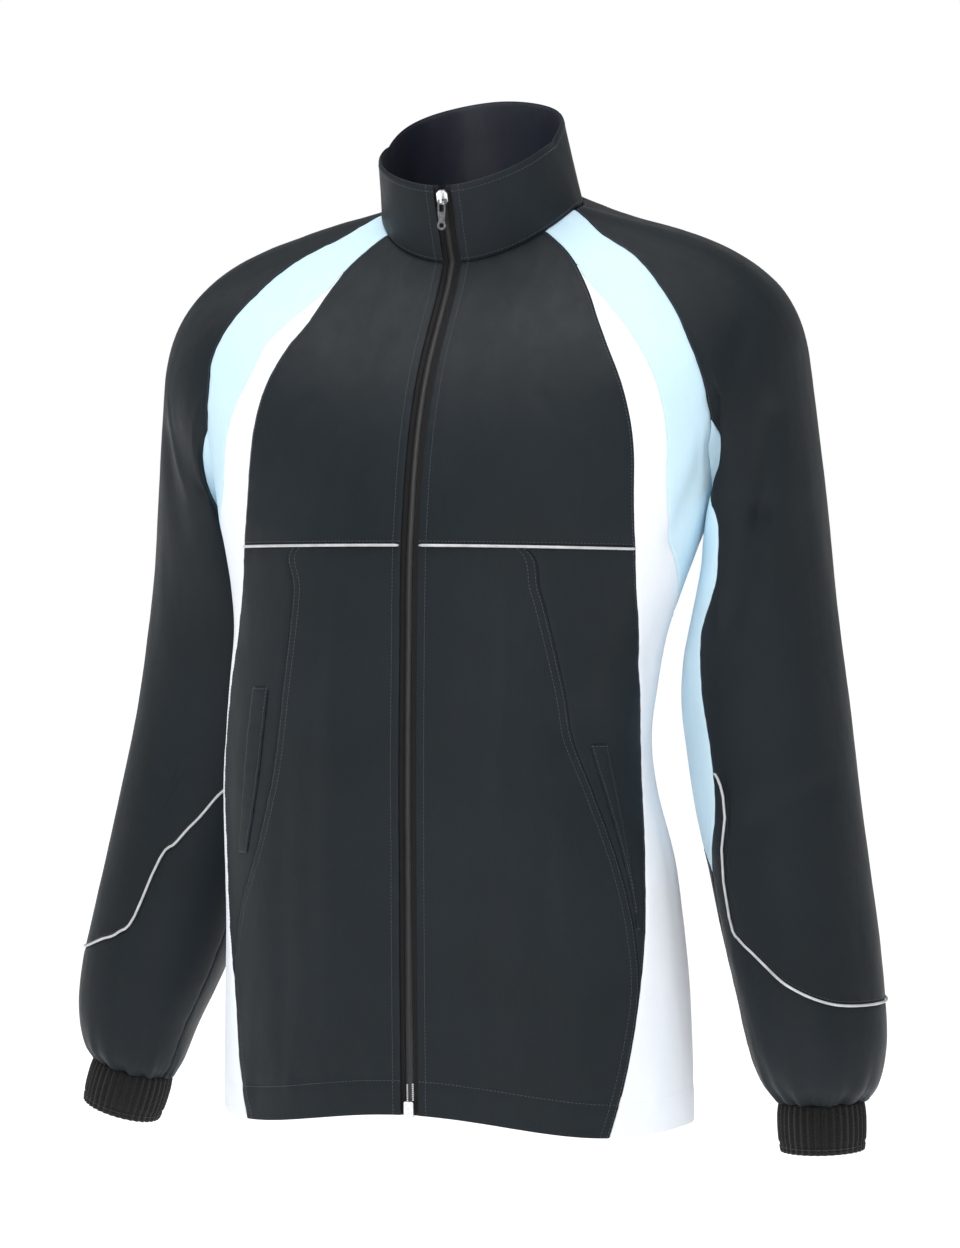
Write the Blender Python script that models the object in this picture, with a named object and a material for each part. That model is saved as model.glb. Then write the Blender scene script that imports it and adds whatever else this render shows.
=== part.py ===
"""Cycling windbreaker, filled out as it is worn: a light woven shell with a stand collar, a full front zip,
raglan sleeves, contrast panels and elastic cuffs.

Metres, +Z up. The front faces -Y and the wearer's left is +X. The origin is the middle of the neck's base,
where the wearer holds the jacket up. Every cloth piece is a wall built on one of two smooth forms: the body,
made of rings from the collar's top to the hem, and a sleeve, made of rings from the raglan seam to the cuff.
"""

import math
from collections import namedtuple

import bpy
import numpy as np
from mathutils import Matrix

# ---------------------------------------------------------------- driving sizes
WALL = 0.0016            # cloth wall
SEAM = 0.00050           # gap between two pieces at a seam
TIP = 0.0011             # width of a panel's pointed end
PIPING_RADIUS = 0.0011
PIPING_GAP = 0.0008      # between a piping and the cloth behind it
ZIP_OPENING = 0.0070     # from the centre line to the edge of each front
TAPE_INNER = 0.0029      # from the centre line to the tape's inner edge
TAPE_OUTER = 0.0165
TAPE_WALL = 0.0010
COIL_HALF = 0.0025
COIL_WALL = 0.0022
FACING_WALL = 0.0012
WELT_WALL = 0.0014
CUFF_HEIGHT = 0.037
CUFF_RIBS = 36
CUFF_RIB_DEPTH = 0.0013
SLEEVE_PLEAT_DEPTH = 0.0032

# ---------------------------------------------------------------- the body's rings, from the top down
# half_left and half_right are the half widths on the wearer's two sides; square is 2 for an ellipse.
# dip lowers the ring between the front and the sides. climb says how it rises from the sides to the back:
# under 1 it rises at once.
BodyRow = namedtuple(
    "BodyRow", "half_left half_right side_z mid_y front_y front_z back_y back_z square dip climb")
BODY = [
    BodyRow(.0678, .0693, .0491, -.0229, -.0890, .0123, .0531, .0894, 2.5, .0, 0.85),   # collar's top edge
    BodyRow(.0745, .0745, .0250, -.0100, -.0785, -.0160, .0615, .0570, 2.2, .0, 1.1),
    BodyRow(.0810, .0790, .0010, .0000, -.0660, -.0447, .0670, .0250, 2.0, .0, 1.4),   # neck seam
    BodyRow(.1120, .1120, -.0080, .0000, -.0750, -.0620, .0710, .0130, 2.1, .0, 1.4),
    BodyRow(.1500, .1500, -.0190, .0000, -.0880, -.0810, .0760, -.0030, 2.2, .0, 1.4),
    BodyRow(.1900, .1900, -.0350, -.0030, -.1030, -.1020, .0800, -.0260, 2.3, .0, 1.4),
    BodyRow(.2180, .2180, -.0560, -.0080, -.1180, -.1240, .0830, -.0560, 2.3, .0, 1.4),
    BodyRow(.2310, .2290, -.0850, -.0150, -.1310, -.1490, .0850, -.0930, 2.3, .0, 1.4),
    BodyRow(.2260, .2230, -.1240, -.0250, -.1410, -.1750, .0850, -.1350, 2.3, .0, 1.4),
    BodyRow(.2140, .2100, -.1700, -.0350, -.1480, -.2020, .0820, -.1800, 2.3, .0, 1.4),
    BodyRow(.2030, .1990, -.2150, -.0440, -.1530, -.2280, .0760, -.2200, 2.3, .0, 1.4),
    BodyRow(.1940, .1930, -.2450, -.0500, -.1560, -.2480, .0700, -.2450, 2.3, .0, 1.4),  # under the arm
    BodyRow(.1870, .1890, -.2650, -.0520, -.1580, -.2610, .0650, -.2650, 2.2, .0, 1.4),  # chest seam
    BodyRow(.1770, .1840, -.2950, -.0540, -.1600, -.2950, .0570, -.2950, 2.1, .0, 1.4),
    BodyRow(.1660, .1810, -.3300, -.0550, -.1610, -.3300, .0460, -.3300, 2.1, .0, 1.4),
    BodyRow(.1590, .1850, -.3700, -.0550, -.1620, -.3700, .0350, -.3700, 2.1, .0, 1.4),
    BodyRow(.1550, .1880, -.4100, -.0550, -.1630, -.4100, .0280, -.4100, 2.1, .0, 1.4),
    BodyRow(.1600, .1900, -.4500, -.0550, -.1630, -.4500, .0260, -.4500, 2.1, .0, 1.4),
    BodyRow(.1730, .1890, -.5000, -.0550, -.1620, -.5000, .0300, -.5000, 2.1, .0, 1.4),
    BodyRow(.1800, .1880, -.5500, -.0550, -.1610, -.5500, .0380, -.5500, 2.1, .0010, 1.4),
    BodyRow(.1850, .1890, -.6010, -.0550, -.1600, -.6000, .0450, -.6000, 2.1, .0030, 1.4),
    BodyRow(.1875, .1895, -.6590, -.0550, -.1590, -.6530, .0490, -.6560, 2.1, .0065, 1.4),
    BodyRow(.1880, .1895, -.7010, -.0550, -.1580, -.6900, .0500, -.6960, 2.1, .0100, 1.4),  # hem
]
COLLAR_ZONE = (0, 2)
BODY_ZONE = (2, len(BODY) - 1)
NECK_ROW, UNDERARM_ROW, CHEST_ROW, HEM_ROW = 2, 11, 12, len(BODY) - 1
STRIPE_START_ROW = 3.5   # the white panels start in a point here
GUSSET_TIP_ROW = 13.5    # the light blue stripes end in a point here
LOWER_SEAM_END = 20      # the curved front seams run into the side seams here
SLOPE_POWER = 1.4        # how the rings fall from the sides to the front

# ---------------------------------------------------------------- seams on the body, in degrees from the zip
# edge: dark front against white; stripe: white against light blue; raglan and back: the sleeve's seam in
# front and behind, and below the arm the back panel's side seam; lower: the curved seam on the lower front.
SeamRow = namedtuple(
    "SeamRow",
    "edge_left edge_right stripe_left stripe_right raglan_left raglan_right back lower_left lower_right")
SEAMS = {
    2: SeamRow(55, 55, 55, 55, 82, 82, 118, 0, 0),
    3: SeamRow(50.5, 48, 50.5, 48, 69.5, 69.5, 122, 0, 0),
    4: SeamRow(43.5, 39.2, 44.2, 40, 63.5, 64, 128, 0, 0),
    5: SeamRow(38, 33, 41.6, 37.3, 56.5, 55.5, 132, 0, 0),
    6: SeamRow(36.5, 32.3, 42.1, 37.7, 54.2, 52.5, 132, 0, 0),
    7: SeamRow(38, 33.8, 44.6, 38.7, 55.5, 53, 130, 0, 0),
    8: SeamRow(42, 37, 49.8, 44, 62.5, 56, 127, 0, 0),
    9: SeamRow(46.8, 41, 56, 51.5, 74, 66, 123, 0, 0),
    10: SeamRow(50.5, 44.5, 61, 58.5, 88, 84, 118, 0, 0),
    11: SeamRow(54, 47, 68, 67.5, 112, 112, 112, 0, 0),
    12: SeamRow(58, 50.5, 75, 76, 112, 112, 112, 27, 30.5),
    13: SeamRow(64, 56, 93, 93, 113, 113, 113, 33.5, 32.5),
    14: SeamRow(72, 63, 114, 114, 114, 114, 114, 39.4, 34.7),
    15: SeamRow(78.5, 67.5, 117, 117, 117, 117, 117, 45.1, 35.8),
    16: SeamRow(83, 70, 121, 121, 121, 121, 121, 50, 37),
    17: SeamRow(79, 69, 122, 122, 122, 122, 122, 55.5, 39.5),
    18: SeamRow(70.5, 67.5, 121, 121, 121, 121, 121, 59, 46),
    19: SeamRow(66.5, 65.5, 119, 119, 119, 119, 119, 62, 55.5),
    20: SeamRow(61.5, 59, 118, 118, 118, 118, 118, 61.5, 59),
    21: SeamRow(55.5, 55, 117, 117, 117, 117, 117, 55.5, 55),
    22: SeamRow(50, 50, 116, 116, 116, 116, 116, 50, 50),
}

# ---------------------------------------------------------------- the sleeves' rings, from the shoulder down
# Each ring runs through an outer and an inner point, with mid_y and half_depth front to back.
SleeveRow = namedtuple("SleeveRow", "outer_x outer_z inner_x inner_z mid_y half_depth")
SLEEVES = {
    "left": [
        SleeveRow(.259, -.113, .187, -.275, .008, .077),
        SleeveRow(.266, -.167, .183, -.292, .010, .074),
        SleeveRow(.273, -.217, .176, -.318, .010, .072),
        SleeveRow(.280, -.275, .169, -.350, .008, .071),
        SleeveRow(.288, -.335, .168, -.385, .004, .070),
        SleeveRow(.297, -.395, .173, -.420, .001, .070),
        SleeveRow(.306, -.455, .182, -.465, -.004, .069),
        SleeveRow(.315, -.510, .194, -.510, -.009, .067),
        SleeveRow(.324, -.560, .205, -.555, -.014, .064),
        SleeveRow(.330, -.605, .217, -.600, -.019, .060),
        SleeveRow(.332, -.640, .227, -.640, -.022, .055),
        SleeveRow(.327, -.668, .238, -.668, -.024, .047),
        SleeveRow(.315, -.682, .252, -.684, -.024, .034),
    ],
    "right": [
        SleeveRow(.263, -.120, .188, -.275, .010, .076),
        SleeveRow(.272, -.170, .180, -.292, .018, .074),
        SleeveRow(.280, -.220, .172, -.318, .026, .072),
        SleeveRow(.288, -.275, .163, -.350, .034, .070),
        SleeveRow(.296, -.335, .161, -.385, .036, .069),
        SleeveRow(.304, -.395, .167, -.425, .032, .068),
        SleeveRow(.314, -.455, .179, -.468, .024, .067),
        SleeveRow(.323, -.510, .194, -.515, .014, .065),
        SleeveRow(.331, -.560, .210, -.565, .004, .062),
        SleeveRow(.337, -.600, .226, -.612, -.005, .058),
        SleeveRow(.338, -.634, .243, -.650, -.011, .053),
        SleeveRow(.333, -.660, .254, -.680, -.015, .045),
        SleeveRow(.322, -.674, .262, -.693, -.018, .033),
    ],
}
SHOULDER_SPAN = 4        # rows of the sleeve between the raglan seam and the first ring of the table
SLEEVE_START = 0.012     # where the sleeve's cloth begins, just off the seam
CUFF_ROW = SHOULDER_SPAN + 12
STRIPE_TIP_ROW = 11      # the under-sleeve stripe ends in a point here
PIPING_INNER_ROW = 9.4   # where the piped seam meets the stripe
SHOULDER_PULL = 0.4     # how far the shoulder's curves keep their first direction
SEAM_TURN = 0.4          # the least share of its way that the sleeve leaves square to the seam
SEAM_STEP = 4.0           # degrees to each side for the direction of the seam
UNDERARM_LIFT = 0.8      # how much it stands off the body under the arm

# Around a sleeve, 0 degrees is its outer side, 90 its front, 180 its inner side and 270 its back.
StripeRow = namedtuple("StripeRow", "row front_left front_right rear")
SLEEVE_STRIPE = [
    StripeRow(0, 128.0063, 128.0063, 198.0340),
    StripeRow(2, 132, 146, 204),
    StripeRow(4, 118, 152, 210),
    StripeRow(5, 108, 156, 214),
    StripeRow(6, 107, 158, 217),
    StripeRow(7, 121, 158, 217),
    StripeRow(8, 120, 157, 213),
    StripeRow(9, 118, 155, 205),
    StripeRow(10, 123, 158, 190),
    StripeRow(11, 146, 166, 147),
    StripeRow(16, 160, 166, 160),
]
STRIPE_TIP_WIDTH = 1.0   # degrees
# The piped seam climbs from the wrist's outer side to the forearm's inner side.
PipingRow = namedtuple("PipingRow", "around left right")
SLEEVE_PIPING = [
    PipingRow(-141.43, PIPING_INNER_ROW, PIPING_INNER_ROW),
    PipingRow(-110, 10.6, 10.3),
    PipingRow(-75, 11.9, 11.6),
    PipingRow(-40, 12.75, 12.4),
    PipingRow(0, 13.02, 12.7),
    PipingRow(40, 13.03, 12.62),
    PipingRow(60, 13.01, 12.39),
    PipingRow(72, 12.93, 12.22),
    PipingRow(80, 12.84, 11.9),
    PipingRow(85, 12.77, 11.03),
    PipingRow(92, 12.65, 10.75),
    PipingRow(102, 12.4, 10.34),
    PipingRow(110, 12.21, 9.93),
    PipingRow(118, 12.04, 9.72),
    PipingRow(124, 11.82, 9.62),
    PipingRow(127, 11.0, 9.58),
    PipingRow(131, 9.95, 9.53),
    PipingRow(136, 9.5, 9.46),
    PipingRow(141.43, PIPING_INNER_ROW, PIPING_INNER_ROW),
]

# ---------------------------------------------------------------- large folds
# Each is a soft trough along a line from start to end; depth is into the wearer, width its half width.
Fold = namedtuple("Fold", "start end width depth")
FOLDS = [
    Fold((.258, -.050, -.165), (.248, -.058, -.235), .012, .0060),
    Fold((.248, -.058, -.235), (.222, -.068, -.320), .010, .0050),
    Fold((.236, -.060, -.100), (.217, -.075, -.150), .009, .0030),
    Fold((.206, -.066, -.190), (.190, -.085, -.255), .012, .0042),
    Fold((.250, .060, -.190), (.215, .070, -.300), .013, .0050),
    Fold((.300, -.050, -.440), (.245, -.074, -.470), .012, .0030),
    Fold((.300, .050, -.420), (.240, .070, -.400), .012, .0040),
    Fold((-.214, -.058, -.325), (-.190, -.058, -.335), .010, .0040),
    Fold((-.225, -.060, -.360), (-.200, -.058, -.395), .010, .0040),
    Fold((-.255, -.050, -.180), (-.235, -.062, -.300), .013, .0045),
    Fold((-.250, .060, -.200), (-.215, .072, -.300), .013, .0050),
    Fold((-.300, .050, -.430), (-.245, .068, -.405), .012, .0040),
    Fold((-.110, .022, -.410), (.010, .030, -.430), .014, .0050),
    Fold((-.040, .028, -.465), (.115, .014, -.445), .013, .0040),
    Fold((-.150, -.010, -.480), (-.060, .030, -.510), .013, .0040),
    Fold((.150, -.070, -.345), (.110, -.125, -.400), .014, .0035),
]


# ---------------------------------------------------------------- small tools
def unit(vector):
    return vector / np.linalg.norm(vector)


def blended(table, place, low, high):
    """The table's row at a fractional place, on a smooth curve through its rows from low to high."""
    first = min(max(int(place), low), high - 1)
    f = place - first
    around = (first - 1, first, first + 1, first + 2)
    a, b, c, d = (np.array(table[min(max(k, low), high)], float) for k in around)
    return b + 0.5 * f * (c - a + f * (2 * a - 5 * b + 4 * c - d + f * (3 * (b - c) + d - a)))


def between(rows, key, value, place):
    """Straight-line reading of the column value against the column key."""
    keys = [getattr(row, key) for row in rows]
    values = [getattr(row, value) for row in rows]
    return float(np.interp(place, keys, values))


def fold_depth(point):
    """How far the large folds sink the cloth at this point."""
    depth = 0.0
    for fold in FOLDS:
        start, end = np.array(fold.start), np.array(fold.end)
        line = end - start
        along = np.clip(np.dot(point - start, line) / np.dot(line, line), 0, 1)
        away = np.linalg.norm(point - start - along * line)
        depth += fold.depth * math.exp(-((away / fold.width) ** 2))
    return depth


def place_of(point, normal, height=0.0):
    """The point of the folded cloth, height above the wall's middle."""
    return point + normal * (height - fold_depth(point))


# ---------------------------------------------------------------- the body's form
def body_row(row, zone):
    return BodyRow(*blended(BODY, row, *zone))


def body_point(row, degrees, zone=BODY_ZONE):
    ring = body_row(row, zone)
    sine, cosine = math.sin(math.radians(degrees)), math.cos(math.radians(degrees))
    reach = (abs(sine) ** ring.square + abs(cosine) ** ring.square) ** (-1 / ring.square)
    half = ring.half_left if sine > 0 else ring.half_right
    end_y, end_z = (ring.front_y, ring.front_z) if cosine > 0 else (ring.back_y, ring.back_z)
    y = ring.mid_y + (end_y - ring.mid_y) * abs(cosine) * reach
    power = SLOPE_POWER if cosine > 0 else ring.climb
    z = ring.side_z + (end_z - ring.side_z) * abs(cosine) ** power
    if cosine > 0:
        z -= ring.dip * (2 * sine * cosine) ** 2
    return np.array((half * sine * reach, y, z))


def zone_normal(row, degrees, zone):
    above, below = max(row - 0.05, zone[0]), min(row + 0.05, zone[1])
    down = body_point(below, degrees, zone) - body_point(above, degrees, zone)
    across = body_point(row, degrees + 0.5, zone) - body_point(row, degrees - 0.5, zone)
    return unit(np.cross(down, across))


def body_normal(row, degrees, zone=BODY_ZONE):
    """Outward. At the neck seam the collar and the body share one direction between theirs."""
    if row == NECK_ROW:
        return unit(zone_normal(row, degrees, COLLAR_ZONE) + zone_normal(row, degrees, BODY_ZONE))
    return zone_normal(row, degrees, zone)


def degrees_at(row, x, zone=BODY_ZONE):
    """The ring's angle where the front lies this far from the centre line."""
    ring = body_row(row, zone)
    across = abs(x) / (ring.half_left if x > 0 else ring.half_right)
    ahead = (1 - across ** ring.square) ** (1 / ring.square)
    return math.copysign(math.degrees(math.atan2(across, ahead)), x)


def seam_at(row, name, side=""):
    """A seam's angle at a fractional row, on a smooth curve through the table."""
    seams = SeamRow(*blended(SEAMS, row, *BODY_ZONE))
    return getattr(seams, name + side)


# ---------------------------------------------------------------- the panels' edges
def front_edge(row, side):
    return seam_at(row, "edge", side)


def tip_degrees(row):
    """The width of a pointed end, as an angle at the side of the body."""
    return math.degrees(TIP / body_row(row, BODY_ZONE).half_left)


def stripe_edge(row, side):
    """White against light blue; above the white panel's point the stripe meets the dark front."""
    edge = front_edge(row, side)
    if row < STRIPE_START_ROW:
        return edge
    return max(seam_at(row, "stripe", side), edge + tip_degrees(row))


def lower_edge(row, side):
    """The curved seam of the lower front, which runs into the side seam."""
    edge = front_edge(row, side)
    if row > LOWER_SEAM_END:
        return edge
    return min(seam_at(row, "lower", side), edge - tip_degrees(row))


def sleeve_edge(row, side):
    """The light blue stripe's outer edge: the raglan seam, and below the arm the back panel's seam."""
    if row <= UNDERARM_ROW:
        return seam_at(row, "raglan", side)
    if row >= GUSSET_TIP_ROW:
        return stripe_edge(row, side) + tip_degrees(row)
    return seam_at(row, "back")


def side_panel_edge(row, side):
    """The white panel's rear edge: the stripe, and below the stripe's point the back panel's seam."""
    if row <= GUSSET_TIP_ROW:
        return min(stripe_edge(row, side), seam_at(row, "back") - tip_degrees(row))
    return seam_at(row, "back")


def steps(start, end, count):
    return [start + (end - start) * k / count for k in range(count + 1)]


LOOP = 28                # points round a sleeve at the raglan seam
NECK_SHARE = 2           # of those, on each side of the shoulder, along the neck seam
STRIPE_FRONT, STRIPE_REAR = 11, 16
RAGLAN_STEPS = 12
SEAM_POWER = 0.7          # how the seam's rows crowd together towards the underarm
UPPER_ROWS = steps(NECK_ROW, UNDERARM_ROW, RAGLAN_STEPS)
CHEST_ROWS = UPPER_ROWS + [CHEST_ROW]
LOWER_ROWS = [CHEST_ROW, 12.75, GUSSET_TIP_ROW, 14.25, 15, 16, 17, 18, 19, LOWER_SEAM_END, 21, HEM_ROW]
BODY_ROWS = UPPER_ROWS + LOWER_ROWS
COLLAR_ROWS = steps(0, NECK_ROW, 4)


# ---------------------------------------------------------------- building solids
SLATE, BLACK = (.024, .029, .038), (.010, .010, .011)
NAVY, LIGHT_BLUE = (.038, .047, .085), (.55, .74, .86)
WHITE, GREY = (.90, .92, .94), (.55, .56, .57)
SILVER, GUNMETAL = (.75, .76, .77), (.22, .22, .23)


def material(name, colour, roughness, metallic=0.0):
    made = bpy.data.materials.new(name)
    made.use_nodes = True
    shader = made.node_tree.nodes["Principled BSDF"]
    shader.inputs["Base Color"].default_value = (*colour, 1)
    shader.inputs["Roughness"].default_value = roughness
    shader.inputs["Metallic"].default_value = metallic
    made.diffuse_color = (*colour, 1)
    return made


def add_object(name, points, faces, colour, roughness, metallic=0.0):
    """One closed mesh as one named object, smooth where it is round."""
    mesh = bpy.data.meshes.new(name)
    mesh.from_pydata([tuple(point) for point in points], [], faces)
    mesh.materials.append(material(name, colour, roughness, metallic))
    made = bpy.data.objects.new(name, mesh)
    bpy.context.scene.collection.objects.link(made)
    mesh.shade_smooth()
    mesh.set_sharp_from_angle(angle=math.radians(50))
    return made


def drawn_in(points, gap):
    """The grid with its four borders moved in by half a seam, square to each border."""
    moved = points.copy()
    for border, inner in ((0, 1), (-1, -2)):
        for axis in (0, 1):
            edge = np.take(points, border, axis=axis)
            line = np.take(points, inner, axis=axis) - edge
            along = np.gradient(edge, axis=0)
            along /= np.maximum(np.linalg.norm(along, axis=1, keepdims=True), 1e-9)
            across = line - along * (line * along).sum(axis=1, keepdims=True)
            length = np.linalg.norm(across, axis=1, keepdims=True)
            step = across / np.maximum(length, 1e-9) * np.minimum(gap / 2, 0.45 * length)
            if axis == 0:
                moved[border] += step
            else:
                moved[:, border] += step
    return moved


def wall(name, points, normals, colour, thickness=WALL, roughness=0.5, gap=SEAM):
    """A cloth panel: a grid of points made into a closed wall, half its thickness each way."""
    points, normals = np.array(points), np.array(normals)
    points = drawn_in(points, gap)
    rows, columns = points.shape[:2]
    count = rows * columns
    outer = (points + normals * thickness / 2).reshape(-1, 3)
    inner = (points - normals * thickness / 2).reshape(-1, 3)
    faces = []
    for r in range(rows - 1):
        for c in range(columns - 1):
            a, b = r * columns + c, (r + 1) * columns + c
            for face in ((a, b, b + 1), (a, b + 1, a + 1)):
                faces.append(face)
                faces.append(tuple(count + corner for corner in reversed(face)))
    top = [c for c in range(columns)]
    right = [r * columns + columns - 1 for r in range(1, rows)]
    bottom = [(rows - 1) * columns + c for c in reversed(range(columns - 1))]
    left = [r * columns for r in reversed(range(1, rows - 1))]
    border = top + right + bottom + left
    for here, after in zip(border, border[1:] + border[:1]):
        faces.append((here, after, after + count, here + count))
    made = add_object(name, np.vstack((outer, inner)), faces, colour, roughness)
    face_outwards(made)
    return made


def face_outwards(made):
    """Turns every face round if the closed mesh holds a negative volume."""
    mesh = made.data
    mesh.calc_loop_triangles()
    corners = np.array([[mesh.vertices[v].co for v in t.vertices] for t in mesh.loop_triangles])
    if np.linalg.det(corners).sum() < 0:
        mesh.flip_normals()


def tube(name, centres, radius, colour, sides=6, roughness=0.4):
    """A round piece along a line of points, closed at both ends."""
    centres = [np.array(centre) for centre in centres]
    points, faces = [], []
    for k, centre in enumerate(centres):
        along = unit(centres[min(k + 1, len(centres) - 1)] - centres[max(k - 1, 0)])
        first = unit(np.cross(along, (0.13, 0.99, 0.06)))
        second = np.cross(along, first)
        for s in range(sides):
            turn = 2 * math.pi * s / sides
            points.append(centre + radius * (first * math.cos(turn) + second * math.sin(turn)))
    for k in range(len(centres) - 1):
        for s in range(sides):
            a, b = k * sides + s, k * sides + (s + 1) % sides
            faces.append((a, b, b + sides, a + sides))
    faces.append(tuple(reversed(range(sides))))
    faces.append(tuple(range(len(points) - sides, len(points))))
    made = add_object(name, points, faces, colour, roughness)
    face_outwards(made)
    return made


# ---------------------------------------------------------------- body panels
def body_grid(rows, angles_of, zone=BODY_ZONE, height=0.0):
    """Points and normals of a panel; angles_of(row) lists the degrees of its columns."""
    points, normals = [], []
    for row in rows:
        angles = angles_of(row)
        directions = [body_normal(row, angle, zone) for angle in angles]
        places = [body_point(row, angle, zone) for angle in angles]
        points.append([place_of(p, n, height) for p, n in zip(places, directions)])
        normals.append(directions)
    return points, normals


def spread(start, end, shares):
    return [start + (end - start) * share for share in shares]


FRONT_UPPER_COLUMNS, FRONT_LOWER_COLUMNS, CONTRAST_COLUMNS, BACK_COLUMNS = 6, 6, 4, 14
SIDE_SHARES = [0, .16, .38, .68, 1]     # the pocket welt lies between the second and the third


def front_columns(row, sign, edge, count, zone=BODY_ZONE):
    """A front's columns: the zip's edge, the tape's edge, and even steps to the panel's far edge."""
    tape = degrees_at(row, sign * TAPE_OUTER, zone)
    return [degrees_at(row, sign * ZIP_OPENING, zone)] + steps(tape, edge, count)


def side_columns(row, side, sign):
    return spread(sign * lower_edge(row, side), sign * front_edge(row, side), SIDE_SHARES)


def front_panels(side, sign):
    """The dark chest panel, the lower front and the side front of one side."""
    def upper(row):
        return front_columns(row, sign, sign * front_edge(row, side), FRONT_UPPER_COLUMNS)

    def lower(row):
        return front_columns(row, sign, sign * lower_edge(row, side), FRONT_LOWER_COLUMNS)

    side_rows = [row for row in LOWER_ROWS if row <= LOWER_SEAM_END]
    wall("front_upper" + side, *body_grid(CHEST_ROWS, upper), SLATE)
    wall("front_lower" + side, *body_grid(LOWER_ROWS, lower), SLATE)
    wall("front_side" + side,
         *body_grid(side_rows, lambda row: side_columns(row, side, sign)), SLATE)


def contrast_panels(side, sign):
    """The white side panel and the light blue raglan stripe of one side."""
    def white(row):
        return steps(sign * front_edge(row, side), sign * side_panel_edge(row, side), CONTRAST_COLUMNS)

    def blue(row):
        if row < GUSSET_TIP_ROW:
            start, end = stripe_edge(row, side), sleeve_edge(row, side)
        else:
            start, end = side_panel_edge(row, side), seam_at(row, "back")
        return steps(sign * start, sign * end, CONTRAST_COLUMNS)

    white_rows = [row for row in BODY_ROWS if row >= STRIPE_START_ROW]
    blue_rows = [row for row in BODY_ROWS if row <= GUSSET_TIP_ROW]
    wall("side_panel" + side, *body_grid(white_rows, white), WHITE)
    wall("raglan_stripe" + side, *body_grid(blue_rows, blue), LIGHT_BLUE)


def back_panel():
    def across(row):
        edge = seam_at(row, "back")
        return steps(edge, 360 - edge, BACK_COLUMNS)

    wall("back", *body_grid(BODY_ROWS, across), SLATE)


def half_collar(row, sign):
    """Columns from the tape's edge to the back panel's seam, where the body's own columns meet the neck."""
    front, stripe, back = (seam_at(NECK_ROW, name) for name in ("edge_left", "raglan_left", "back"))
    angles = steps(degrees_at(row, sign * TAPE_OUTER, COLLAR_ZONE), sign * front, FRONT_UPPER_COLUMNS)
    angles += steps(sign * front, sign * stripe, CONTRAST_COLUMNS)[1:]
    return angles + steps(sign * stripe, sign * back, 2 * NECK_SHARE)[1:]


def collar_walls():
    """The stand collar, open at the zip, and the navy facing inside it, from the collar's own points."""
    def facing(row):
        left, right = half_collar(row, 1), half_collar(row, -1)
        right = [360 + angle for angle in reversed(right)]
        return left + steps(left[-1], right[0], BACK_COLUMNS)[1:-1] + right

    def collar(row):
        start = degrees_at(row, ZIP_OPENING, COLLAR_ZONE)
        end = 360 + degrees_at(row, -ZIP_OPENING, COLLAR_ZONE)
        return [start] + facing(row) + [end]

    inside = -(WALL + FACING_WALL) / 2 - 0.0003
    wall("collar", *body_grid(COLLAR_ROWS, collar, COLLAR_ZONE), SLATE, gap=2 * SEAM)
    wall("collar_facing",
         *body_grid(COLLAR_ROWS, facing, COLLAR_ZONE, inside), NAVY, FACING_WALL, gap=2 * SEAM)


# ---------------------------------------------------------------- the sleeves' form


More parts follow.
